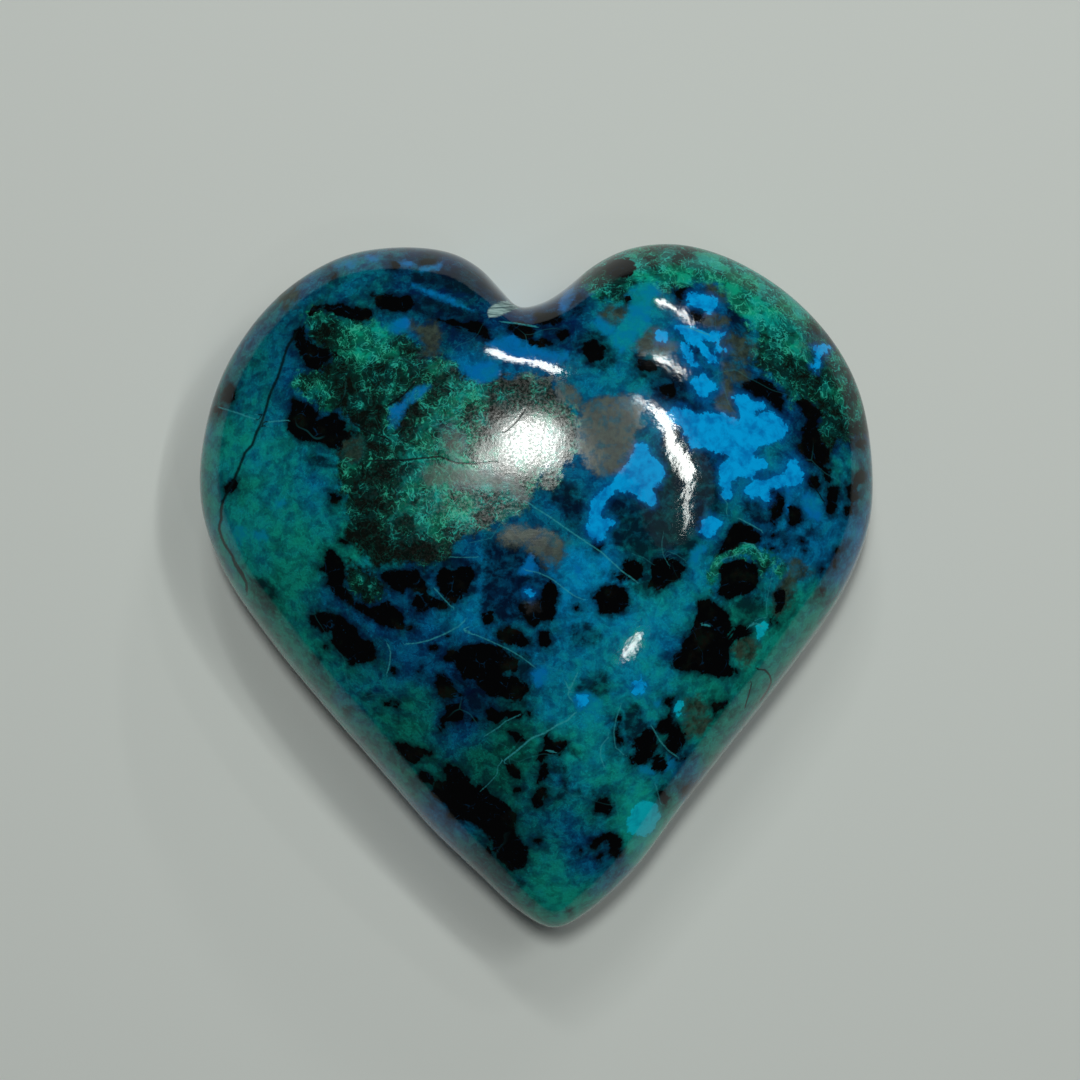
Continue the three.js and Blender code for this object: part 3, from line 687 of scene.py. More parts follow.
def beside(run, width):
    corners = np.array(run, float)
    lengths = np.hypot(*np.diff(corners, axis=0).T)
    start, whole = 0.0, lengths.sum()
    depth, nearest, offset = np.full(count, -FAR), np.full(count, FAR), np.full(count, FAR)
    for (ax, ay), (bx, by), length in zip(corners, corners[1:], lengths):
        side = np.array((bx - ax, by - ay))
        to_point = seen - (ax, ay)
        along = np.clip(to_point @ side / (side @ side), 0, 1)
        off = np.hypot(*(to_point - along[:, None] * side).T)
        way = (start + along * length) / whole
        depth = np.maximum(depth, width / 2 * np.clip(4 * way * (1 - way), 0, 1) ** 0.25 - off)
        leftward = np.sign(side[0] * to_point[:, 1] - side[1] * to_point[:, 0])
        offset = np.where(off < nearest, off * leftward, offset)
        nearest = np.minimum(nearest, off)
        start += length
    return np.where(height > LINES_END, depth, -FAR), offset


PALE_HAIRLINES = [
    ([(-30.6, 18.7), (-28.9, 18.1), (-27.9, 17.7), (-26.9, 17.3), (-25.8, 17.1),
      (-24.2, 17.2)], 0.24),
    ([(-1, 8.2), (0, 7.4), (1.2, 6.6), (3, 5.2), (4.6, 4), (6, 3), (8, 1), (9.4, -0.1)], 0.22),
    ([(-1.4, 1.5), (-0.2, 1.2), (1, 0.6), (2.2, -0.4), (3.2, -1.2), (4, -1.6)], 0.2),
    ([(-13.4, -5.2), (-12.4, -5.2), (-11, -4.9), (-9.6, -4.4), (-8.2, -3.7), (-7.6, -3.2)], 0.22),
    ([(-6.6, -4.6), (-5, -5.4), (-3.4, -6.2), (-2.2, -7), (-1, -8)], 0.2),
    ([(-15.2, -5.2), (-15, -6), (-15.1, -6.8), (-15.4, -8)], 0.22),
    ([(-4.3, -17), (-3, -16.1), (-1.6, -15), (-0.2, -14.5), (1, -13.8), (2, -13.4),
      (2.7, -12.8)], 0.26),
    ([(-4.6, -17.2), (-5, -17.6), (-5.1, -18.4), (-5.9, -19.2), (-6.6, -19.8)], 0.18),
    ([(-6, -14.5), (-4.8, -13.8), (-4, -13.2), (-2.8, -12.7)], 0.2),
    ([(-10.3, 0), (-9.6, -0.9), (-8.8, -1.8)], 0.2),
    ([(12.2, 4.4), (12, 3.4), (12.1, 2.4), (12.6, 1.4)], 0.15),
    ([(12.4, 2.8), (13.4, 2.4), (14.2, 1.8)], 0.14),
    ([(9.2, 2.6), (10.2, 2.2), (11, 1.6)], 0.13),
    ([(7.3, -12.2), (6.8, -13.4), (6.5, -14.8), (6.6, -16.2), (7.4, -17)], 0.19),
    ([(10.3, -14.4), (11, -15.8), (11.8, -16.8), (12.6, -17.4)], 0.22),
    ([(10.4, -20.1), (10.6, -21), (10.8, -22)], 0.18),
    ([(19.8, 5.6), (20.8, 5), (21.8, 4.4)], 0.2),
    ([(-9.9, 16), (-8.8, 16.3), (-7.8, 16.7)], 0.18),
    ([(-2.6, 25.9), (-1.2, 25.7), (0.6, 25.3)], 0.24),
    ([(2, -9.6), (2.3, -10.4), (2.2, -11), (2.5, -11.4)], 0.22),
    ([(2.4, -10.4), (2.8, -9.6), (3.1, -9)], 0.24),
    ([(20.2, -5), (20.8, -4.6), (21.4, -5)], 0.26),
    ([(18, 8), (18.6, 7.2), (18.5, 6.2)], 0.17),
    ([(5.4, -18), (5.1, -17), (5.2, -16), (6, -15.2)], 0.2),
    ([(-6.8, 4.4), (-4.6, 4.8), (-3.6, 6.4), (-2.2, 7)], 0.14),
    ([(-8.6, 3.1), (-7.4, 3), (-6.2, 3)], 0.18),
    ([(21.8, 1.6), (21.4, 2.4), (21, 3), (20.2, 3.2)], 0.22),
    ([(20, 2.4), (19, 2), (18, 1.8), (17.2, 1)], 0.2),
    ([(15.6, 24.6), (16.4, 24.2), (17.4, 23.8)], 0.24),
    ([(-7.6, -4.2), (-7.1, -4.4)], 0.4),
    ([(0.1, -16.3), (0.5, -16.4)], 0.3),
    ([(15.8, -4.6), (16.3, -4.7)], 0.3),
    ([(22.8, 0.4), (22.4, -1.2), (22, -2.8), (22, -4)], 0.15),
]
DARK_CRACKS = [
    ([(-22.9, 25.6), (-23.8, 24.4), (-24.1, 23.6), (-24.4, 22.7), (-24.8, 21.6), (-25.2, 20.8),
      (-25.7, 19.9), (-26.2, 18.3), (-26.6, 17.2), (-27.2, 16.1), (-27.6, 15), (-28.4, 14.2),
      (-29.1, 12.6), (-29.7, 11.4), (-30.3, 10.4), (-30.8, 9.5), (-31, 8.6), (-31, 7.8), (-31.3, 7),
      (-31, 5.8), (-30.6, 5), (-30.1, 4.2), (-29.8, 3.2), (-29.2, 2.2), (-28.8, 1.4),
      (-28.8, 0.6)], 0.44),
    ([(-29.6, 3.2), (-29.1, 2.4), (-28.9, 1.8)], 0.2),
    ([(-16.5, 12.9), (-12.7, 12.8), (-9.4, 13), (-7.8, 12.3), (-5.8, 12.1), (-4, 12.2)], 0.3),
    ([(-0.9, 17.2), (-1.5, 16.4), (-2.1, 15.8), (-2.9, 15.2)], 0.4),
    ([(20.9, -9.2), (21.6, -9.3), (22, -9.8), (22.2, -10.4), (21.8, -11.2), (21.4, -11.8),
      (21, -12.3)], 0.3),
    ([(-17.4, 16.4), (-16, 15.6), (-14.4, 15)], 0.3),
    ([(-11.6, 20.2), (-12.6, 19.2), (-14.2, 18.2)], 0.3),
    ([(27, 8.6), (27.6, 7.8), (28, 7)], 0.2),
    ([(20.2, -10.6), (19.9, -11.6), (19.4, -13)], 0.2),
    ([(-3.6, 26.6), (-2.4, 27.3), (-1.9, 27.5)], 0.16),
]
pale_depths, pale_offsets = zip(*(beside(*one) for one in PALE_HAIRLINES))
crack_depths, crack_offsets = zip(*(beside(*one) for one in DARK_CRACKS))
pale_line, crack = np.max(pale_depths, axis=0), np.max(crack_depths, axis=0)
offsets = np.array(pale_offsets + crack_offsets)
nearest_line = np.abs(offsets).argmin(axis=0)
line_offset = offsets[nearest_line, np.arange(count)]
line_width = np.array([width for run, width in PALE_HAIRLINES + DARK_CRACKS])[nearest_line]
print(len(PALE_HAIRLINES), "pale hairlines and", len(DARK_CRACKS), "cracks")

# %% [markdown]
# Where the two lobes meet, the polishing wheel couldn't reach, and a leaf-shaped spot kept the pale
# scratches of the grinding stone. It ends where the notch turns steep.

# %% Unpolished spot
SPOT_ENDS = 13.2
LEAF = [(-4.1, 26.7), (-3.9, 27.3), (-3.3, 27.7), (-2, 28), (-1.7, 27.7), (-1, 27.2), (-2, 26.9),
        (-2.9, 26.5), (-3.9, 26.4)]
unpolished = np.minimum(from_above([LEAF]), height - SPOT_ENDS)
print("the unpolished spot reaches down to", round(float(height[unpolished > 0].min()), 1), "mm")

# %% [markdown]
# The chrysocolla between the patches drifts from blue to green and from deep to pale. Broad spots,
# each with a place, a reach, a share of green and a share of paleness, are blended by nearness. The
# small pale spots along the lower-left rim are a painted reflection: the thin pale teal sheen of
# that edge.

# %% Drift of the ground colour
DRIFT = [
    (-29, 24, 4, 0.5, 0.38), (-26, 25, 3, 0.5, 0.34), (-23.4, 20, 2.2, 0.12, 0.3),
    (-21, 28.6, 2, 0.35, 0.35), (-28, 17, 3, 0.66, 0.5), (-31, 14, 2.5, 0.7, 0.55),
    (-26, 11, 4, 0.7, 0.5), (-24, 4, 3.5, 0.8, 0.48), (-29, 6, 2, 0.6, 0.6),
    (-22.5, 11, 2.2, 0.3, 0.42), (-25, 0, 3, 0.85, 0.48), (-20.5, -1, 2, 0.1, 0.3),
    (-24, -6, 2.6, 0.85, 0.52), (-18, -9.5, 3, 0.6, 0.4), (-13.5, -13, 2.6, 0.92, 0.4),
    # Painted reflection: the three spots on this line and the first on the next lie along the
    # lower-left rim and paint its thin pale teal sheen into the colour.
    (-30.6, 0, 1.4, 0.85, 0.8), (-26.6, -7.8, 1.8, 0.88, 0.85), (-21.6, -13, 1.8, 0.85, 0.8),
    (-16.6, -18.8, 1.5, 0.7, 0.7), (-12.5, -6, 3, 0.15, 0.3), (-8, -1.8, 2, 0.25, 0.56),
    (-5.4, 2.6, 1, 0.2, 0.56), (-5, -16.4, 3.5, 0.9, 0.28), (-8, -12, 2.4, 0.05, 0.22),
    (-16, -17, 2.4, 0.6, 0.45), (-10, -23, 2, 0.25, 0.46), (0.5, -10, 2.2, 0.3, 0.42),
    (3, -6, 2.6, 0.36, 0.5), (6.5, -7, 2.6, 0.4, 0.56), (11, -5, 2.6, 0.5, 0.62),
    (4, -1, 2.4, 0.2, 0.66), (14.5, 0, 1.8, 0.4, 0.55), (7, -12, 3, 0.55, 0.55),
    (4, -17, 2.6, 0.55, 0.58), (1, -13, 2.4, 0.55, 0.56), (0, -22, 3, 0.52, 0.34),
    (5, -20, 2.6, 0.6, 0.52), (0.6, -30, 3, 0.9, 0.6), (3, -27, 2, 0.1, 0.3),
    (-9, -14.2, 1.4, 0.08, 0.36), (0.6, -22.6, 1.2, 0.25, 0.36), (9, -23.4, 2, 0.9, 0.8),
    (10.5, -19.4, 1.6, 0.6, 0.6), (24.5, -5, 3, 0.86, 0.55), (17.5, -14, 3, 0.82, 0.52),
    (12.6, -18.6, 1.4, 0.3, 0.45), (22.6, -1, 1.4, 0.35, 0.42), (25, 4, 3, 0.14, 0.5),
    (28.5, 3, 2.5, 0.25, 0.48), (30.4, 9, 1.6, 0.5, 0.46), (20, 7, 2, 0.4, 0.4),
    (21, 13, 3, 0.05, 0.42), (17, 20.5, 3, 0.2, 0.32), (9.5, 24, 3, 0.58, 0.54),
    (16.6, 25.6, 2, 0.12, 0.36), (7, 19.6, 2.4, 0.3, 0.45), (12.4, -6.2, 1.3, 0.12, 0.34),
    (23, 12, 1, 0.7, 0.5), (3, 26, 2.4, 0.2, 0.22), (-1.4, 23.4, 2.4, 0.1, 0.3),
    (-8, 29.5, 4, 0.3, 0.16), (-16.5, 30.5, 4, 0.46, 0.38), (-13, 26, 1.6, 0.35, 0.45),
    (-5, 21, 2, 0.25, 0.5), (3, 8.4, 2.4, 0.35, 0.36), (-12, 18, 1.4, 0.25, 0.36),
    (-2, 1, 2.4, 0.12, 0.34), (23.4, 22.6, 1.6, 0.4, 0.45), (27, 14, 2, 0.2, 0.2),
    (28.4, 21, 1, 0.4, 0.6), (9, 10, 3, 0.08, 0.45), (13, 8, 3, 0.7, 0.3), (-6, -28, 3, 0.6, 0.3),
    (9, 14, 2, 0.4, 0.4), (-6, 4, 2, 0.3, 0.34), (16.4, 6, 2, 0.3, 0.42),
]


def blended(spots, places):
    total = np.full(count, 1e-9)
    green, pale = np.zeros(count), np.zeros(count)
    for place, reach, green_share, pale_share in spots:
        weight = np.exp(-FALL_OFF * np.sum((places - np.array(place)) ** 2, axis=1) / reach ** 2)
        total += weight
        green += weight * green_share
        pale += weight * pale_share
    return green / total, pale / total


top_green, top_pale = blended([((x, y), r, g, p) for x, y, r, g, p in DRIFT], seen)
print("share of green in the ground from", span(top_green))

# %% [markdown]
# The sides and the underside carry on in the same way. There the pieces are thrown by chance: each
# is a pebble cut by seven planes about its middle, as broken rock is, and spots of drift are laid
# among them. From 5.5 mm up the thrown pieces shrink, and at 9.5 mm they end. The seed is fixed, so
# the stone is the same each time.

# %% Broken pieces in the sides and underside
SIDES_BELOW, PIECES_SHRINK, PIECES_END = 8, 5.5, 9.5
DRIFT_TURNS, DRIFT_TURN_HEIGHT = 4.5, 4
low = np.flatnonzero(height < SIDES_BELOW)


def broken_pieces(number, smallest, largest, highest=7.0):
    field = np.full(count, -FAR)
    middles = points[chance.choice(low[height[low] < highest], number)]
    for middle in middles:
        size = smallest * (largest / smallest) ** chance.uniform()
        stretch = chance.uniform(0.6, 1.5, 3)
        cuts = chance.normal(size=(7, 3))
        cuts /= np.linalg.norm(cuts, axis=1)[:, None]
        reach = size * chance.uniform(0.55, 1.0, 7)
        away = (points - middle) / stretch
        pebble = 1.3 * size - np.linalg.norm(away, axis=1)
        field = np.maximum(field, np.minimum(pebble, np.min(reach - away @ cuts.T, axis=1)))
    return np.minimum(field - np.maximum(0, height - PIECES_SHRINK), PIECES_END - height)


tenorite = np.maximum(tenorite, broken_pieces(90, 0.6, 5.0))
ink = np.maximum(ink, broken_pieces(70, 0.8, 5.0))
bright = np.maximum(bright, broken_pieces(30, 0.5, 3.0))
brown = np.maximum(brown, broken_pieces(16, 1.0, 4.0))
moss = np.maximum(moss, broken_pieces(9, 5.0, 11.0, 6.0))
under_spots = [(points[i], chance.uniform(2.5, 6), chance.uniform(0.05, 0.95),
                chance.uniform(0.35, 0.62)) for i in chance.choice(low, 40)]
under_green, under_pale = blended(under_spots, points)
top_share = np.clip((height - DRIFT_TURNS) / DRIFT_TURN_HEIGHT, 0, 1)
green = top_share * top_green + (1 - top_share) * under_green
pale = top_share * top_pale + (1 - top_share) * under_pale
print("with the sides and underside, tenorite covers", covered(tenorite))

# %% [markdown]
# The numbers are kept on the skin as attributes, one value for each point, where the material reads
# them. They move with the stone, and need no image.

# %% Keep the fields on the skin
FIELDS = {"tenorite": tenorite, "ink": ink, "bright": bright, "quiet": quiet, "moss": moss,
          "thickness": thickness, "brown": brown, "pale_line": pale_line, "crack": crack,
          "line_offset": line_offset, "line_width": line_width, "unpolished": unpolished,
          "green": green, "pale": pale}
for name, values in FIELDS.items():
    kept = skin.data.attributes.new(name, "FLOAT", "POINT")
    kept.data.foreach_set("value", np.clip(values, -FAR, FAR).astype(np.float32))
print("kept", len(FIELDS), "fields")

# %% [markdown]
# The stone is a copper silicate grown through with quartz, cut and brought to a glassy polish. A
# picture could be laid over it, but it would smear down the sides. Instead each pattern is set in
# grains per millimetre on the stone's own coordinates, so it runs through the stone like real
# grain. One function turns a colour as a painter writes it into the linear numbers that the shader
# works with. Another adds a node: it sets it, fills or wires its open inputs in order, and gives
# its output. Every step from one range of numbers to another is a smooth one.

# %% Stone material, its colours and nodes
stone = bpy.data.materials.new("polished_chrysocolla")
stone.use_nodes = True
tree = stone.node_tree
tree.nodes.clear()
SMOOTH = {"interpolation_type": "SMOOTHSTEP"}


def linear(hex_colour):
    parts = [int(hex_colour[i:i + 2], 16) / 255 for i in (1, 3, 5)]
    return (*[c / 12.92 if c <= 0.04045 else ((c + 0.055) / 1.055) ** 2.4 for c in parts], 1.0)


def add(kind, *values, out=None, named=None, **settings):
    made = tree.nodes.new("ShaderNode" + kind)
    for setting, value in settings.items():
        setattr(made, setting, value)
    inputs = [socket for socket in made.inputs if socket.enabled]
    filled = list(zip(inputs, values))
    filled += [(made.inputs[name], value) for name, value in (named or {}).items()]
    for socket, value in filled:
        if isinstance(value, bpy.types.NodeSocket):
            tree.links.new(value, socket)
        else:
            socket.default_value = value
    outputs = [socket for socket in made.outputs if socket.enabled and out in (None, socket.name)]
    return outputs[0] if outputs else made


# %% [markdown]
# Every pattern here reads noise. The noise has no end, so each pattern reads it at a far-off place
# of its own, and no two of them lie alike. A swirl pushes the places about by a slow noise, which
# bends the patterns as the flow of the old gel did. The edges of all minerals share the same
# grains, so they fray alike: those of 1.3 and 0.4 mm wave them, and small crooked cells break them.

# %% Stone material, its grain
own = add("TexCoord", out="Object")
mm_place = add("VectorMath", own, 1 / MM, operation="SCALE")
on_skin = {name: add("Attribute", out="Fac", attribute_name=name) for name in FIELDS}


def far_off(steps):
    return (steps, 1.7 * steps, -steps)


def swirled(place, per_mm, reach):
    push = add("VectorMath", add("TexNoise", place, per_mm, 1.0, 0.5, out="Color"), (0.5, 0.5, 0.5),
               operation="SUBTRACT")
    return add("VectorMath", push, (reach, reach, reach), place, operation="MULTIPLY_ADD")


slow_grain = add("TexNoise", mm_place, 0.8, 3.0, 0.55)
fine_grain = add("TexNoise", add("VectorMath", mm_place, far_off(7), operation="ADD"), 2.6, 4.0,
                 0.68)
cell_grain = add("TexVoronoi", swirled(mm_place, 0.6, 0.8), 1.5, out="Color")


def edged(name, slow, fine, broken, softness, shift=0.0):
    ragged = add("Math", slow_grain, slow, on_skin[name], operation="MULTIPLY_ADD")
    ragged = add("Math", fine_grain, fine, ragged, operation="MULTIPLY_ADD")
    if broken:
        ragged = add("Math", cell_grain, broken, ragged, operation="MULTIPLY_ADD")
    middle = 0.5 * (slow + fine + broken) - shift
    return add("MapRange", ragged, middle - softness, middle + softness, **SMOOTH)


# %% [markdown]
# The ground is blended from four colours: deep and pale, blue and green. Clouds a few millimetres
# wide mix them, and flecks of a quarter of a millimetre give the silicate its slightly mealy look.
# Pale filaments run where the mottling crosses its middle, as silica does along old cracks.

# %% Stone material, the chrysocolla
green_drift = on_skin["green"]
pale_drift = on_skin["pale"]
clouds = add("TexNoise", add("VectorMath", mm_place, far_off(13), operation="ADD"), 0.35, 4.0, 0.6)
mottling = add("TexNoise",
               add("VectorMath", swirled(mm_place, 0.5, 1.2), far_off(21), operation="ADD"), 0.9,
               5.0, 0.62)
mealy = add("TexNoise", add("VectorMath", mm_place, far_off(33), operation="ADD"), 4.0, 2.0, 0.6)
green_share = add("Math", clouds, 0.9, green_drift, operation="MULTIPLY_ADD")
green_share = add("Math", mottling, 0.6, green_share, operation="MULTIPLY_ADD")
green_share = add("MapRange", green_share, 0.77, 1.73, **SMOOTH)
filaments = add("MapRange",
                add("Math", add("Math", mottling, 0.53, operation="SUBTRACT"),
                    operation="ABSOLUTE"),
                0.016, 0.0, **SMOOTH)
pale_share = add("Math", mottling, 0.8, pale_drift, operation="MULTIPLY_ADD")
pale_share = add("Math", mealy, 0.3, pale_share, operation="MULTIPLY_ADD")
pale_share = add("Math", filaments, 0.16, pale_share, operation="MULTIPLY_ADD")
pale_share = add("MapRange", pale_share, 0.62, 1.64, **SMOOTH)
deep = add("Mix", green_share, linear("#00214e"), linear("#002e29"), data_type="RGBA")
light = add("Mix", green_share, linear("#009de0"), linear("#12b9a4"), data_type="RGBA")
ground = add("Mix", pale_share, deep, light, data_type="RGBA")

# %% [markdown]
# Round the black pieces the silicate is full of black dust and looks like smoke. It was cracked and
# healed again, so paler veins a fraction of a millimetre wide cut the smoke into crooked cells. The
# smoke comes from the same depth as the pieces, so it follows them.

# %% Stone material, smoke, veins and ink-blue pools
vein_edges = add("TexVoronoi", swirled(swirled(mm_place, 0.35, 2.4), 1.6, 0.5), 0.42,
                 feature="DISTANCE_TO_EDGE")
vein_width = add("MapRange",
                 add("TexNoise", add("VectorMath", mm_place, far_off(43), operation="ADD"), 0.5,
                     2.0, 0.5),
                 0.36, 0.66, -0.02, 0.16, **SMOOTH)
veins = add("MapRange", add("Math", vein_edges, vein_width, operation="SUBTRACT"), 0.05, -0.05,
            **SMOOTH)
far_smoke = edged("tenorite", 3.0, 1.4, 0.3, 0.8, 1.0)
near_smoke = edged("tenorite", 1.5, 0.8, 0.15, 0.4, 0.4)
ink_share = add("Math", edged("ink", 1.6, 1.0, 0.2, 0.5, 0.15),
                add("MapRange", mottling, 0.66, 0.44, 0.7, 1.0, **SMOOTH), operation="MULTIPLY")
smoke = add("Math", far_smoke, add("Math", veins, -0.4, 0.52, operation="MULTIPLY_ADD"),
            operation="MULTIPLY")
smoke = add("Math", smoke,
            add("Math", ink_share, add("Math", veins, -0.15, 0.95, operation="MULTIPLY_ADD"),
                operation="MULTIPLY"),
            operation="MAXIMUM")
smoke = add("Math", smoke, add("Math", near_smoke, 0.85, operation="MULTIPLY"), operation="MAXIMUM")
ink_colour = add("Mix", green_share, linear("#000d26"), linear("#002a2c"), data_type="RGBA")
wisp_share = add("MapRange", mottling, 0.5, 0.72, **SMOOTH)
ink_colour = add("Mix", add("Math", wisp_share, 0.5, operation="MULTIPLY"), ink_colour,
                 add("Mix", green_share, linear("#00305c"), linear("#004040"), data_type="RGBA"),
                 data_type="RGBA")
ground = add("Mix", smoke, ground, ink_colour, data_type="RGBA")

# %% [markdown]
# Brown cuprite and iron stains are mealy. The malachite moss is a lace of pale green curls over
# clouds that go from green-black to a fresh green. The curls are the lines where a stirred noise
# crosses its middle, which never end bluntly, and a gate of slower noise thins them out.

# %% Stone material, brown stains and moss
brown_share = edged("brown", 1.8, 1.2, 0.2, 0.5, 0.15)
rusty = add("MapRange",
            add("TexNoise", add("VectorMath", mm_place, far_off(51), operation="ADD"), 1.1, 5.0,
                0.68),
            0.35, 0.65, **SMOOTH)
brown_colour = add("Mix", rusty, linear("#18251c"), linear("#36463a"), data_type="RGBA")
brown_share = add("Math", brown_share, add("MapRange", mottling, 0.62, 0.46, 0.65, 0.95, **SMOOTH),
                  operation="MULTIPLY")
ground = add("Mix", brown_share, ground, brown_colour, data_type="RGBA")

curled = swirled(mm_place, 0.7, 1.3)


def curls(per_mm, apart, wide):
    off_line = add("Math",
                   add("Math",
                       add("TexNoise", add("VectorMath", curled, far_off(apart), operation="ADD"),
                           per_mm, 2.0, 0.5),
                       0.5, operation="SUBTRACT"),
                   operation="ABSOLUTE")
    return add("MapRange", off_line, wide, 0.0, **SMOOTH)


moss_depth = add("Math",
                 add("TexNoise", add("VectorMath", curled, far_off(61), operation="ADD"), 0.5, 6.0,
                     0.64),
                 4.2, add("Math", on_skin["thickness"], 1.5, -0.62, operation="MULTIPLY_ADD"),
                 operation="MULTIPLY_ADD")
moss_depth = add("Math", mealy, 0.3, moss_depth, operation="MULTIPLY_ADD")
wide_curls = add("Math", curls(0.9, 3.0, 0.034), add("MapRange", slow_grain, 0.42, 0.54, **SMOOTH),
                 operation="MULTIPLY")
small_curls = add("Math", curls(2.2, 17.0, 0.05), add("MapRange", mottling, 0.46, 0.58, **SMOOTH),
                  operation="MULTIPLY")
hue = add("MapRange", clouds, 0.4, 0.6, **SMOOTH)
moss_colour = add("Mix", add("MapRange", moss_depth, 1.75, 2.3, **SMOOTH),
                  add("Mix", rusty, linear("#010f0c"), linear("#0a0f0a"), data_type="RGBA"),
                  add("Mix", hue, linear("#012c2b"), linear("#022c24"), data_type="RGBA"),
                  data_type="RGBA")
moss_colour = add("Mix", add("MapRange", moss_depth, 2.35, 2.8, **SMOOTH), moss_colour,
                  add("Mix", hue, linear("#025e5a"), linear("#03624e"), data_type="RGBA"),
                  data_type="RGBA")
moss_colour = add("Mix", add("MapRange", moss_depth, 2.9, 3.4, **SMOOTH), moss_colour,
                  add("Mix", hue, linear("#059c92"), linear("#089c7c"), data_type="RGBA"),
                  data_type="RGBA")
curl_colour = add("Mix", add("MapRange", moss_depth, 1.8, 2.8, **SMOOTH), linear("#0a5248"),
                  add("Mix", hue, linear("#2cbcae"), linear("#38bc9c"), data_type="RGBA"),
                  data_type="RGBA")
curl_share = add("Math", add("Math", wide_curls, small_curls, operation="MAXIMUM"),
                 add("MapRange", moss_depth, 1.5, 2.6, 0.3, 0.9, **SMOOTH), operation="MULTIPLY")
moss_colour = add("Mix", curl_share, moss_colour, curl_colour, data_type="RGBA")
moss_share = edged("moss", 2.2, 1.4, 0.15, 0.4)
moss_share = add("Math", moss_share, add("Math", brown_share, -0.6, 1.0, operation="MULTIPLY_ADD"),
                 operation="MULTIPLY")
ground = add("Mix", moss_share, ground, moss_colour, data_type="RGBA")

# %% [markdown]
# The quieter patches of deep blue are the same silicate in a clearer, thinner layer.

# %% Stone material, the quiet blue patches
quiet_share = edged("quiet", 1.2, 0.9, 0.15, 0.3)
quiet_colour = add("Mix", green_share, linear("#006eb6"), linear("#008c9c"), data_type="RGBA")
ground = add("Mix",
             add("Math", quiet_share, add("MapRange", mottling, 0.62, 0.44, 0.5, 0.95, **SMOOTH),
                 operation="MULTIPLY"),
             ground, quiet_colour, data_type="RGBA")

# %% [markdown]
# The black pieces and the bright patches cut cleanly across the ground. The blacks aren't even:
# some are tinged green or brown, tiny flecks of blue sit in them, and the finest veins cross them.

# %% Stone material, tenorite and bright patches
black_share = edged("tenorite", 1.0, 0.4, 0.32, 0.09)
tinge = add("MapRange", clouds, 0.54, 0.72, **SMOOTH)
black = add("Mix", tinge, linear("#010203"),
            add("Mix", rusty, linear("#04150f"), linear("#130c07"), data_type="RGBA"),
            data_type="RGBA")
crumbs = add("MapRange",
             add("TexNoise", add("VectorMath", mm_place, far_off(91), operation="ADD"), 2.6, 3.0,
                 0.7),
             0.66, 0.74, **SMOOTH)
crumbs = add("Math", crumbs,
             add("Math", add("MapRange", vein_edges, 0.025, 0.005, **SMOOTH), wisp_share,
                 operation="MULTIPLY"),
             operation="MAXIMUM")
black = add("Mix", add("Math", crumbs, 0.55, operation="MULTIPLY"), black, linear("#0a4468"),
            data_type="RGBA")
ground = add("Mix", black_share, ground, black, data_type="RGBA")

halo_share = add("Math", edged("bright", 1.6, 1.2, 0.0, 0.45, 0.35), 0.5, operation="MULTIPLY")
ground = add("Mix", halo_share, ground,
             add("Mix", add("MapRange", green_drift, 0.5, 0.8, **SMOOTH), linear("#005ca4"),
                 linear("#007c88"), data_type="RGBA"),
             data_type="RGBA")
bright_share = edged("bright", 1.4, 0.7, 0.3, 0.1, 0.05)
azure = add("Mix", add("MapRange", mottling, 0.3, 0.6, **SMOOTH), linear("#007ac4"),
            linear("#00a6ee"), data_type="RGBA")
turquoise = add("Mix", add("MapRange", mottling, 0.3, 0.6, **SMOOTH), linear("#00a4be"),
                linear("#04c4d8"), data_type="RGBA")
bright_colour = add("Mix", add("MapRange", green_drift, 0.55, 0.8, **SMOOTH), azure, turquoise,
                    data_type="RGBA")
ground = add("Mix", bright_share, ground, bright_colour, data_type="RGBA")

# %% [markdown]
# Hairlines come last, because they're the youngest. Besides those listed, a net of cells
# 8 mm wide gives the whole stone faint ones, each broken up so that no cell closes. Over them go
# the dark open cracks, and the unpolished spot with scratches that run across the notch.

# %% Stone material, hairlines, cracks and the unpolished spot
net = add("TexVoronoi", swirled(mm_place, 0.25, 3.0), 0.12, feature="DISTANCE_TO_EDGE")
net_share = add("Math", add("MapRange", net, 0.009, 0.003, **SMOOTH),
                add("MapRange",
                    add("TexNoise", add("VectorMath", mm_place, far_off(103), operation="ADD"),
                        0.16, 1.0, 0.5),
                    0.56, 0.66, **SMOOTH),
                operation="MULTIPLY")
wavering = add("Math", add("Math", fine_grain, 0.5, operation="SUBTRACT"), 0.14,
               on_skin["line_offset"], operation="MULTIPLY_ADD")
width_here = on_skin["line_width"]
thin = add("MapRange",
           add("Math", add("Math", wavering, operation="ABSOLUTE"), width_here, operation="DIVIDE"),
           0.5, 0.12, **SMOOTH)
filled = add("MapRange", mealy, 0.3, 0.6, 0.45, 1.0, **SMOOTH)
drawn_share = add("Math", add("Math", thin, filled, operation="MULTIPLY"),
                  add("MapRange", on_skin["pale_line"], -0.5, -0.25, **SMOOTH),
                  operation="MULTIPLY")
drawn_share = add("Math", drawn_share, add("MapRange", width_here, 0.08, 0.28, 0.1, 0.7, **SMOOTH),
                  operation="MULTIPLY")
line_share = add("Math", drawn_share, add("Math", net_share, 0.1, operation="MULTIPLY"),
                 operation="MAXIMUM")
ground = add("Mix", line_share, ground, linear("#38a2ac"), data_type="RGBA")
crack_share = add("Math", thin, add("MapRange", on_skin["crack"], -0.5, -0.25, **SMOOTH),
                  operation="MULTIPLY")
ground = add("Mix", add("Math", crack_share, 0.9, operation="MULTIPLY"), ground, linear("#021214"),
             data_type="RGBA")
raw_share = edged("unpolished", 0.3, 0.4, 0.0, 0.12)
across = add("VectorMath", mm_place, (0.35, 5.0, 0.35), operation="MULTIPLY")
scratches = add("TexNoise", add("VectorMath", across, far_off(131), operation="ADD"), 1.0, 3.0, 0.7)
raw_colour = add("Mix", add("MapRange", scratches, 0.38, 0.6, **SMOOTH), linear("#1c4a50"),
                 linear("#a8c8c6"), data_type="RGBA")
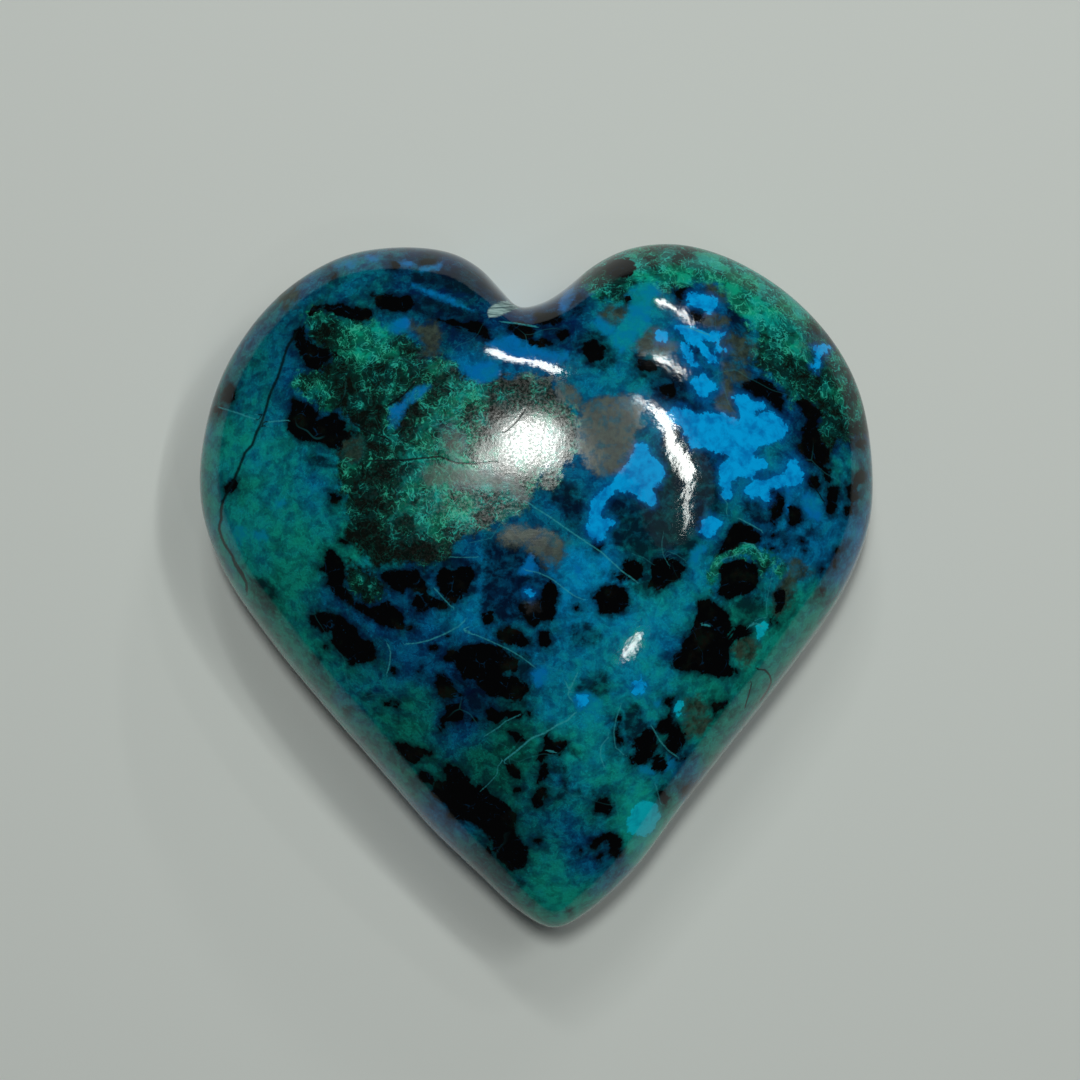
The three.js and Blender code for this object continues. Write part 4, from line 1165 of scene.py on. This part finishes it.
ground = add("Mix", add("Math", raw_share, 0.85, operation="MULTIPLY"), ground, raw_colour,
             data_type="RGBA")

# %% [markdown]
# The polish is glassy on the silicate and the black oxide. The moss is softer: the wheel tears out
# grains, so it is a speckle of glassy and dull points, and a lamp's reflection spreads into a glow
# on it. The brown and the unpolished spot are duller all over. The sides were harder to hold
# against the wheel than the dome, and are a little less glassy. The relief is a few thousandths of
# a millimetre, far too small to model; it shows only in how the edges of the reflections fray.

# %% Stone material, the polish
GLASSY_IOR = 1.46
SIDES_END, DOME_STARTS = 9.0, 15.0
SIDES_ROUGH, DOME_ROUGH = 0.11, 0.05
torn = add("MapRange", mealy, 0.36, 0.66, 0.075, 0.19, **SMOOTH)
height_above = add("SeparateXYZ", mm_place, out="Z")
roughness = add("MapRange", height_above, SIDES_END, DOME_STARTS, SIDES_ROUGH, DOME_ROUGH, **SMOOTH)
roughness = add("Math", moss_share, torn, roughness, operation="MULTIPLY_ADD")
roughness = add("Math", brown_share, 0.2, roughness, operation="MULTIPLY_ADD")
roughness = add("Math", raw_share, 0.3, roughness, operation="MULTIPLY_ADD")
orange_peel = add("Math",
                  add("TexNoise", add("VectorMath", mm_place, far_off(113), operation="ADD"), 0.55,
                      2.0, 0.5),
                  0.009, operation="MULTIPLY")
relief = add("Math",
             add("TexNoise", add("VectorMath", mm_place, far_off(127), operation="ADD"), 2.2, 3.0,
                 0.42),
             0.0042, orange_peel, operation="MULTIPLY_ADD")
relief = add("Math", scratches, 0.0015, relief, operation="MULTIPLY_ADD")
relief = add("Math", add("MapRange", on_skin["moss"], -0.4, 0.4, **SMOOTH),
             add("Math", mealy, -0.004, operation="MULTIPLY"), relief, operation="MULTIPLY_ADD")
relief = add("Math", crack_share, -0.005, relief, operation="MULTIPLY_ADD")
relief = add("Math", add("MapRange", on_skin["unpolished"], -0.1, 0.2, **SMOOTH),
             add("Math", scratches, 0.03, operation="MULTIPLY"), relief, operation="MULTIPLY_ADD")
worn = add("Bump", named={"Height": relief, "Strength": 1.0, "Distance": MM})
polish = add("BsdfPrincipled", named={"Base Color": ground, "Roughness": roughness,
                                      "IOR": GLASSY_IOR, "Normal": worn})
add("OutputMaterial", polish)
skin.data.materials.clear()
skin.data.materials.append(stone)
print("stone material has", len(tree.nodes), "nodes")

# %% [markdown]
# The floor is a large sheet of pale matt paper. It is part of the studio and not of the stone.

# %% Floor
bpy.ops.object.select_all(action="DESELECT")
bpy.ops.mesh.primitive_plane_add(size=2.4)
floor = bpy.context.active_object
floor.name = "pale_floor"
paper = bpy.data.materials.new("pale_matt_paper")
paper.use_nodes = True
paper_bsdf = paper.node_tree.nodes["Principled BSDF"]
paper_bsdf.inputs["Base Color"].default_value = linear("#dcdfdd")
paper_bsdf.inputs["Roughness"].default_value = 0.9
floor.data.materials.append(paper)

# %% [markdown]
# A polished stone shows its lamps as highlights, so each lamp is placed by the highlight it makes:
# where the camera sees the two ends and the two sides of a highlight, its lines of sight are
# mirrored in the stone, and the lamp fills the space between the mirrored lines. A curved window
# reflection is a chain of such lamps.

# %% Light
normals = np.empty(count * 3)
skin.data.vertices.foreach_get("normal", normals)
normals = normals.reshape(-1, 3)
LAMP_DISTANCE = 0.6
NARROWEST_LAMP = 0.008
LAMP_COLOUR = (0.965, 1.0, 0.955)
STONE_MIDDLE = Vector((0, 0, 0.02))


def mirrored_from(spot):
    hidden = np.where(height > RIM, 0, 1e3)
    nearest = int(np.argmin(np.hypot(*(seen - spot).T) + hidden))
    at = Vector(points[nearest]) * MM
    sight = (at - camera.location).normalized()
    return at + sight.reflect(Vector(normals[nearest])) * LAMP_DISTANCE


def highlight(name, start, end, wide, radiance):
    start, end = np.array(start, float), np.array(end, float)
    aside = np.array((start[1] - end[1], end[0] - start[0]))
    aside *= wide / 2 / np.hypot(*aside)
    middle = (start + end) / 2
    first, last, left, right = map(mirrored_from, (start, end, middle - aside, middle + aside))
    place = (first + last) / 2
    facing = (place - STONE_MIDDLE).normalized()
    along = last - first
    along -= along.dot(facing) * facing
    side = facing.cross(along.normalized())
    light = bpy.data.lights.new(name, "AREA")
    light.shape = "ELLIPSE"
    light.size = along.length
    light.size_y = max(NARROWEST_LAMP, abs((right - left).dot(side)))
    light.energy = radiance * math.pi * math.pi / 4 * light.size * light.size_y
    light.color = LAMP_COLOUR
    holder = bpy.data.objects.new(name, light)
    turned = Matrix((along.normalized(), side, facing)).transposed().to_4x4()
    holder.matrix_world = Matrix.Translation(place) @ turned
    bpy.context.scene.collection.objects.link(holder)
    print(name, "stands at", [round(c, 2) for c in place], "and is", round(1000 * light.size), "by",
          round(1000 * light.size_y), "mm, with", round(light.energy, 2), "W")


highlight("key", (-3.8, 14.2), (1, 13.8), 5, 30)
highlight("key_core", (-1, 11.7), (-0.3, 16.2), 2.2, 100)
highlight("window_top", (10, 18), (12.6, 15.9), 0.35, 32)
highlight("window_bend", (11.8, 16.7), (14, 13.2), 1.2, 32)
highlight("window_side", (13.3, 15), (14.7, 9.6), 1.3, 32)
highlight("window_foot", (14.7, 12), (14.3, 4.6), 0.6, 26)
highlight("window_veil", (12.4, 17.5), (12.6, 3), 9, 0.18)
highlight("notch_left", (-4.2, 23.1), (-1, 22.1), 0.7, 30)
highlight("notch_right", (-1.6, 22.3), (2.8, 20.6), 0.6, 30)
highlight("upper_streak_left", (12.4, 27.6), (14.6, 26.3), 0.4, 34)
highlight("upper_streak_right", (14, 26.7), (15.9, 24.5), 0.4, 34)
highlight("middle_streak_left", (12, 22.1), (13.8, 21.1), 0.4, 34)
highlight("middle_streak_right", (13.2, 21.4), (15.2, 19.9), 0.4, 34)
highlight("low_blob", (7.9, -7.8), (9.3, -5.4), 0.7, 26)

# %% [markdown]
# The rest of the room is dim, so that the blacks of the left lobe stay black.

# %% Room
world = bpy.data.worlds.new("dim_studio")
world.use_nodes = True
world.node_tree.nodes["Background"].inputs["Color"].default_value = linear("#f2f4f6")
world.node_tree.nodes["Background"].inputs["Strength"].default_value = 0.03
bpy.context.scene.world = world
bpy.context.scene.view_settings.view_transform = "Standard"
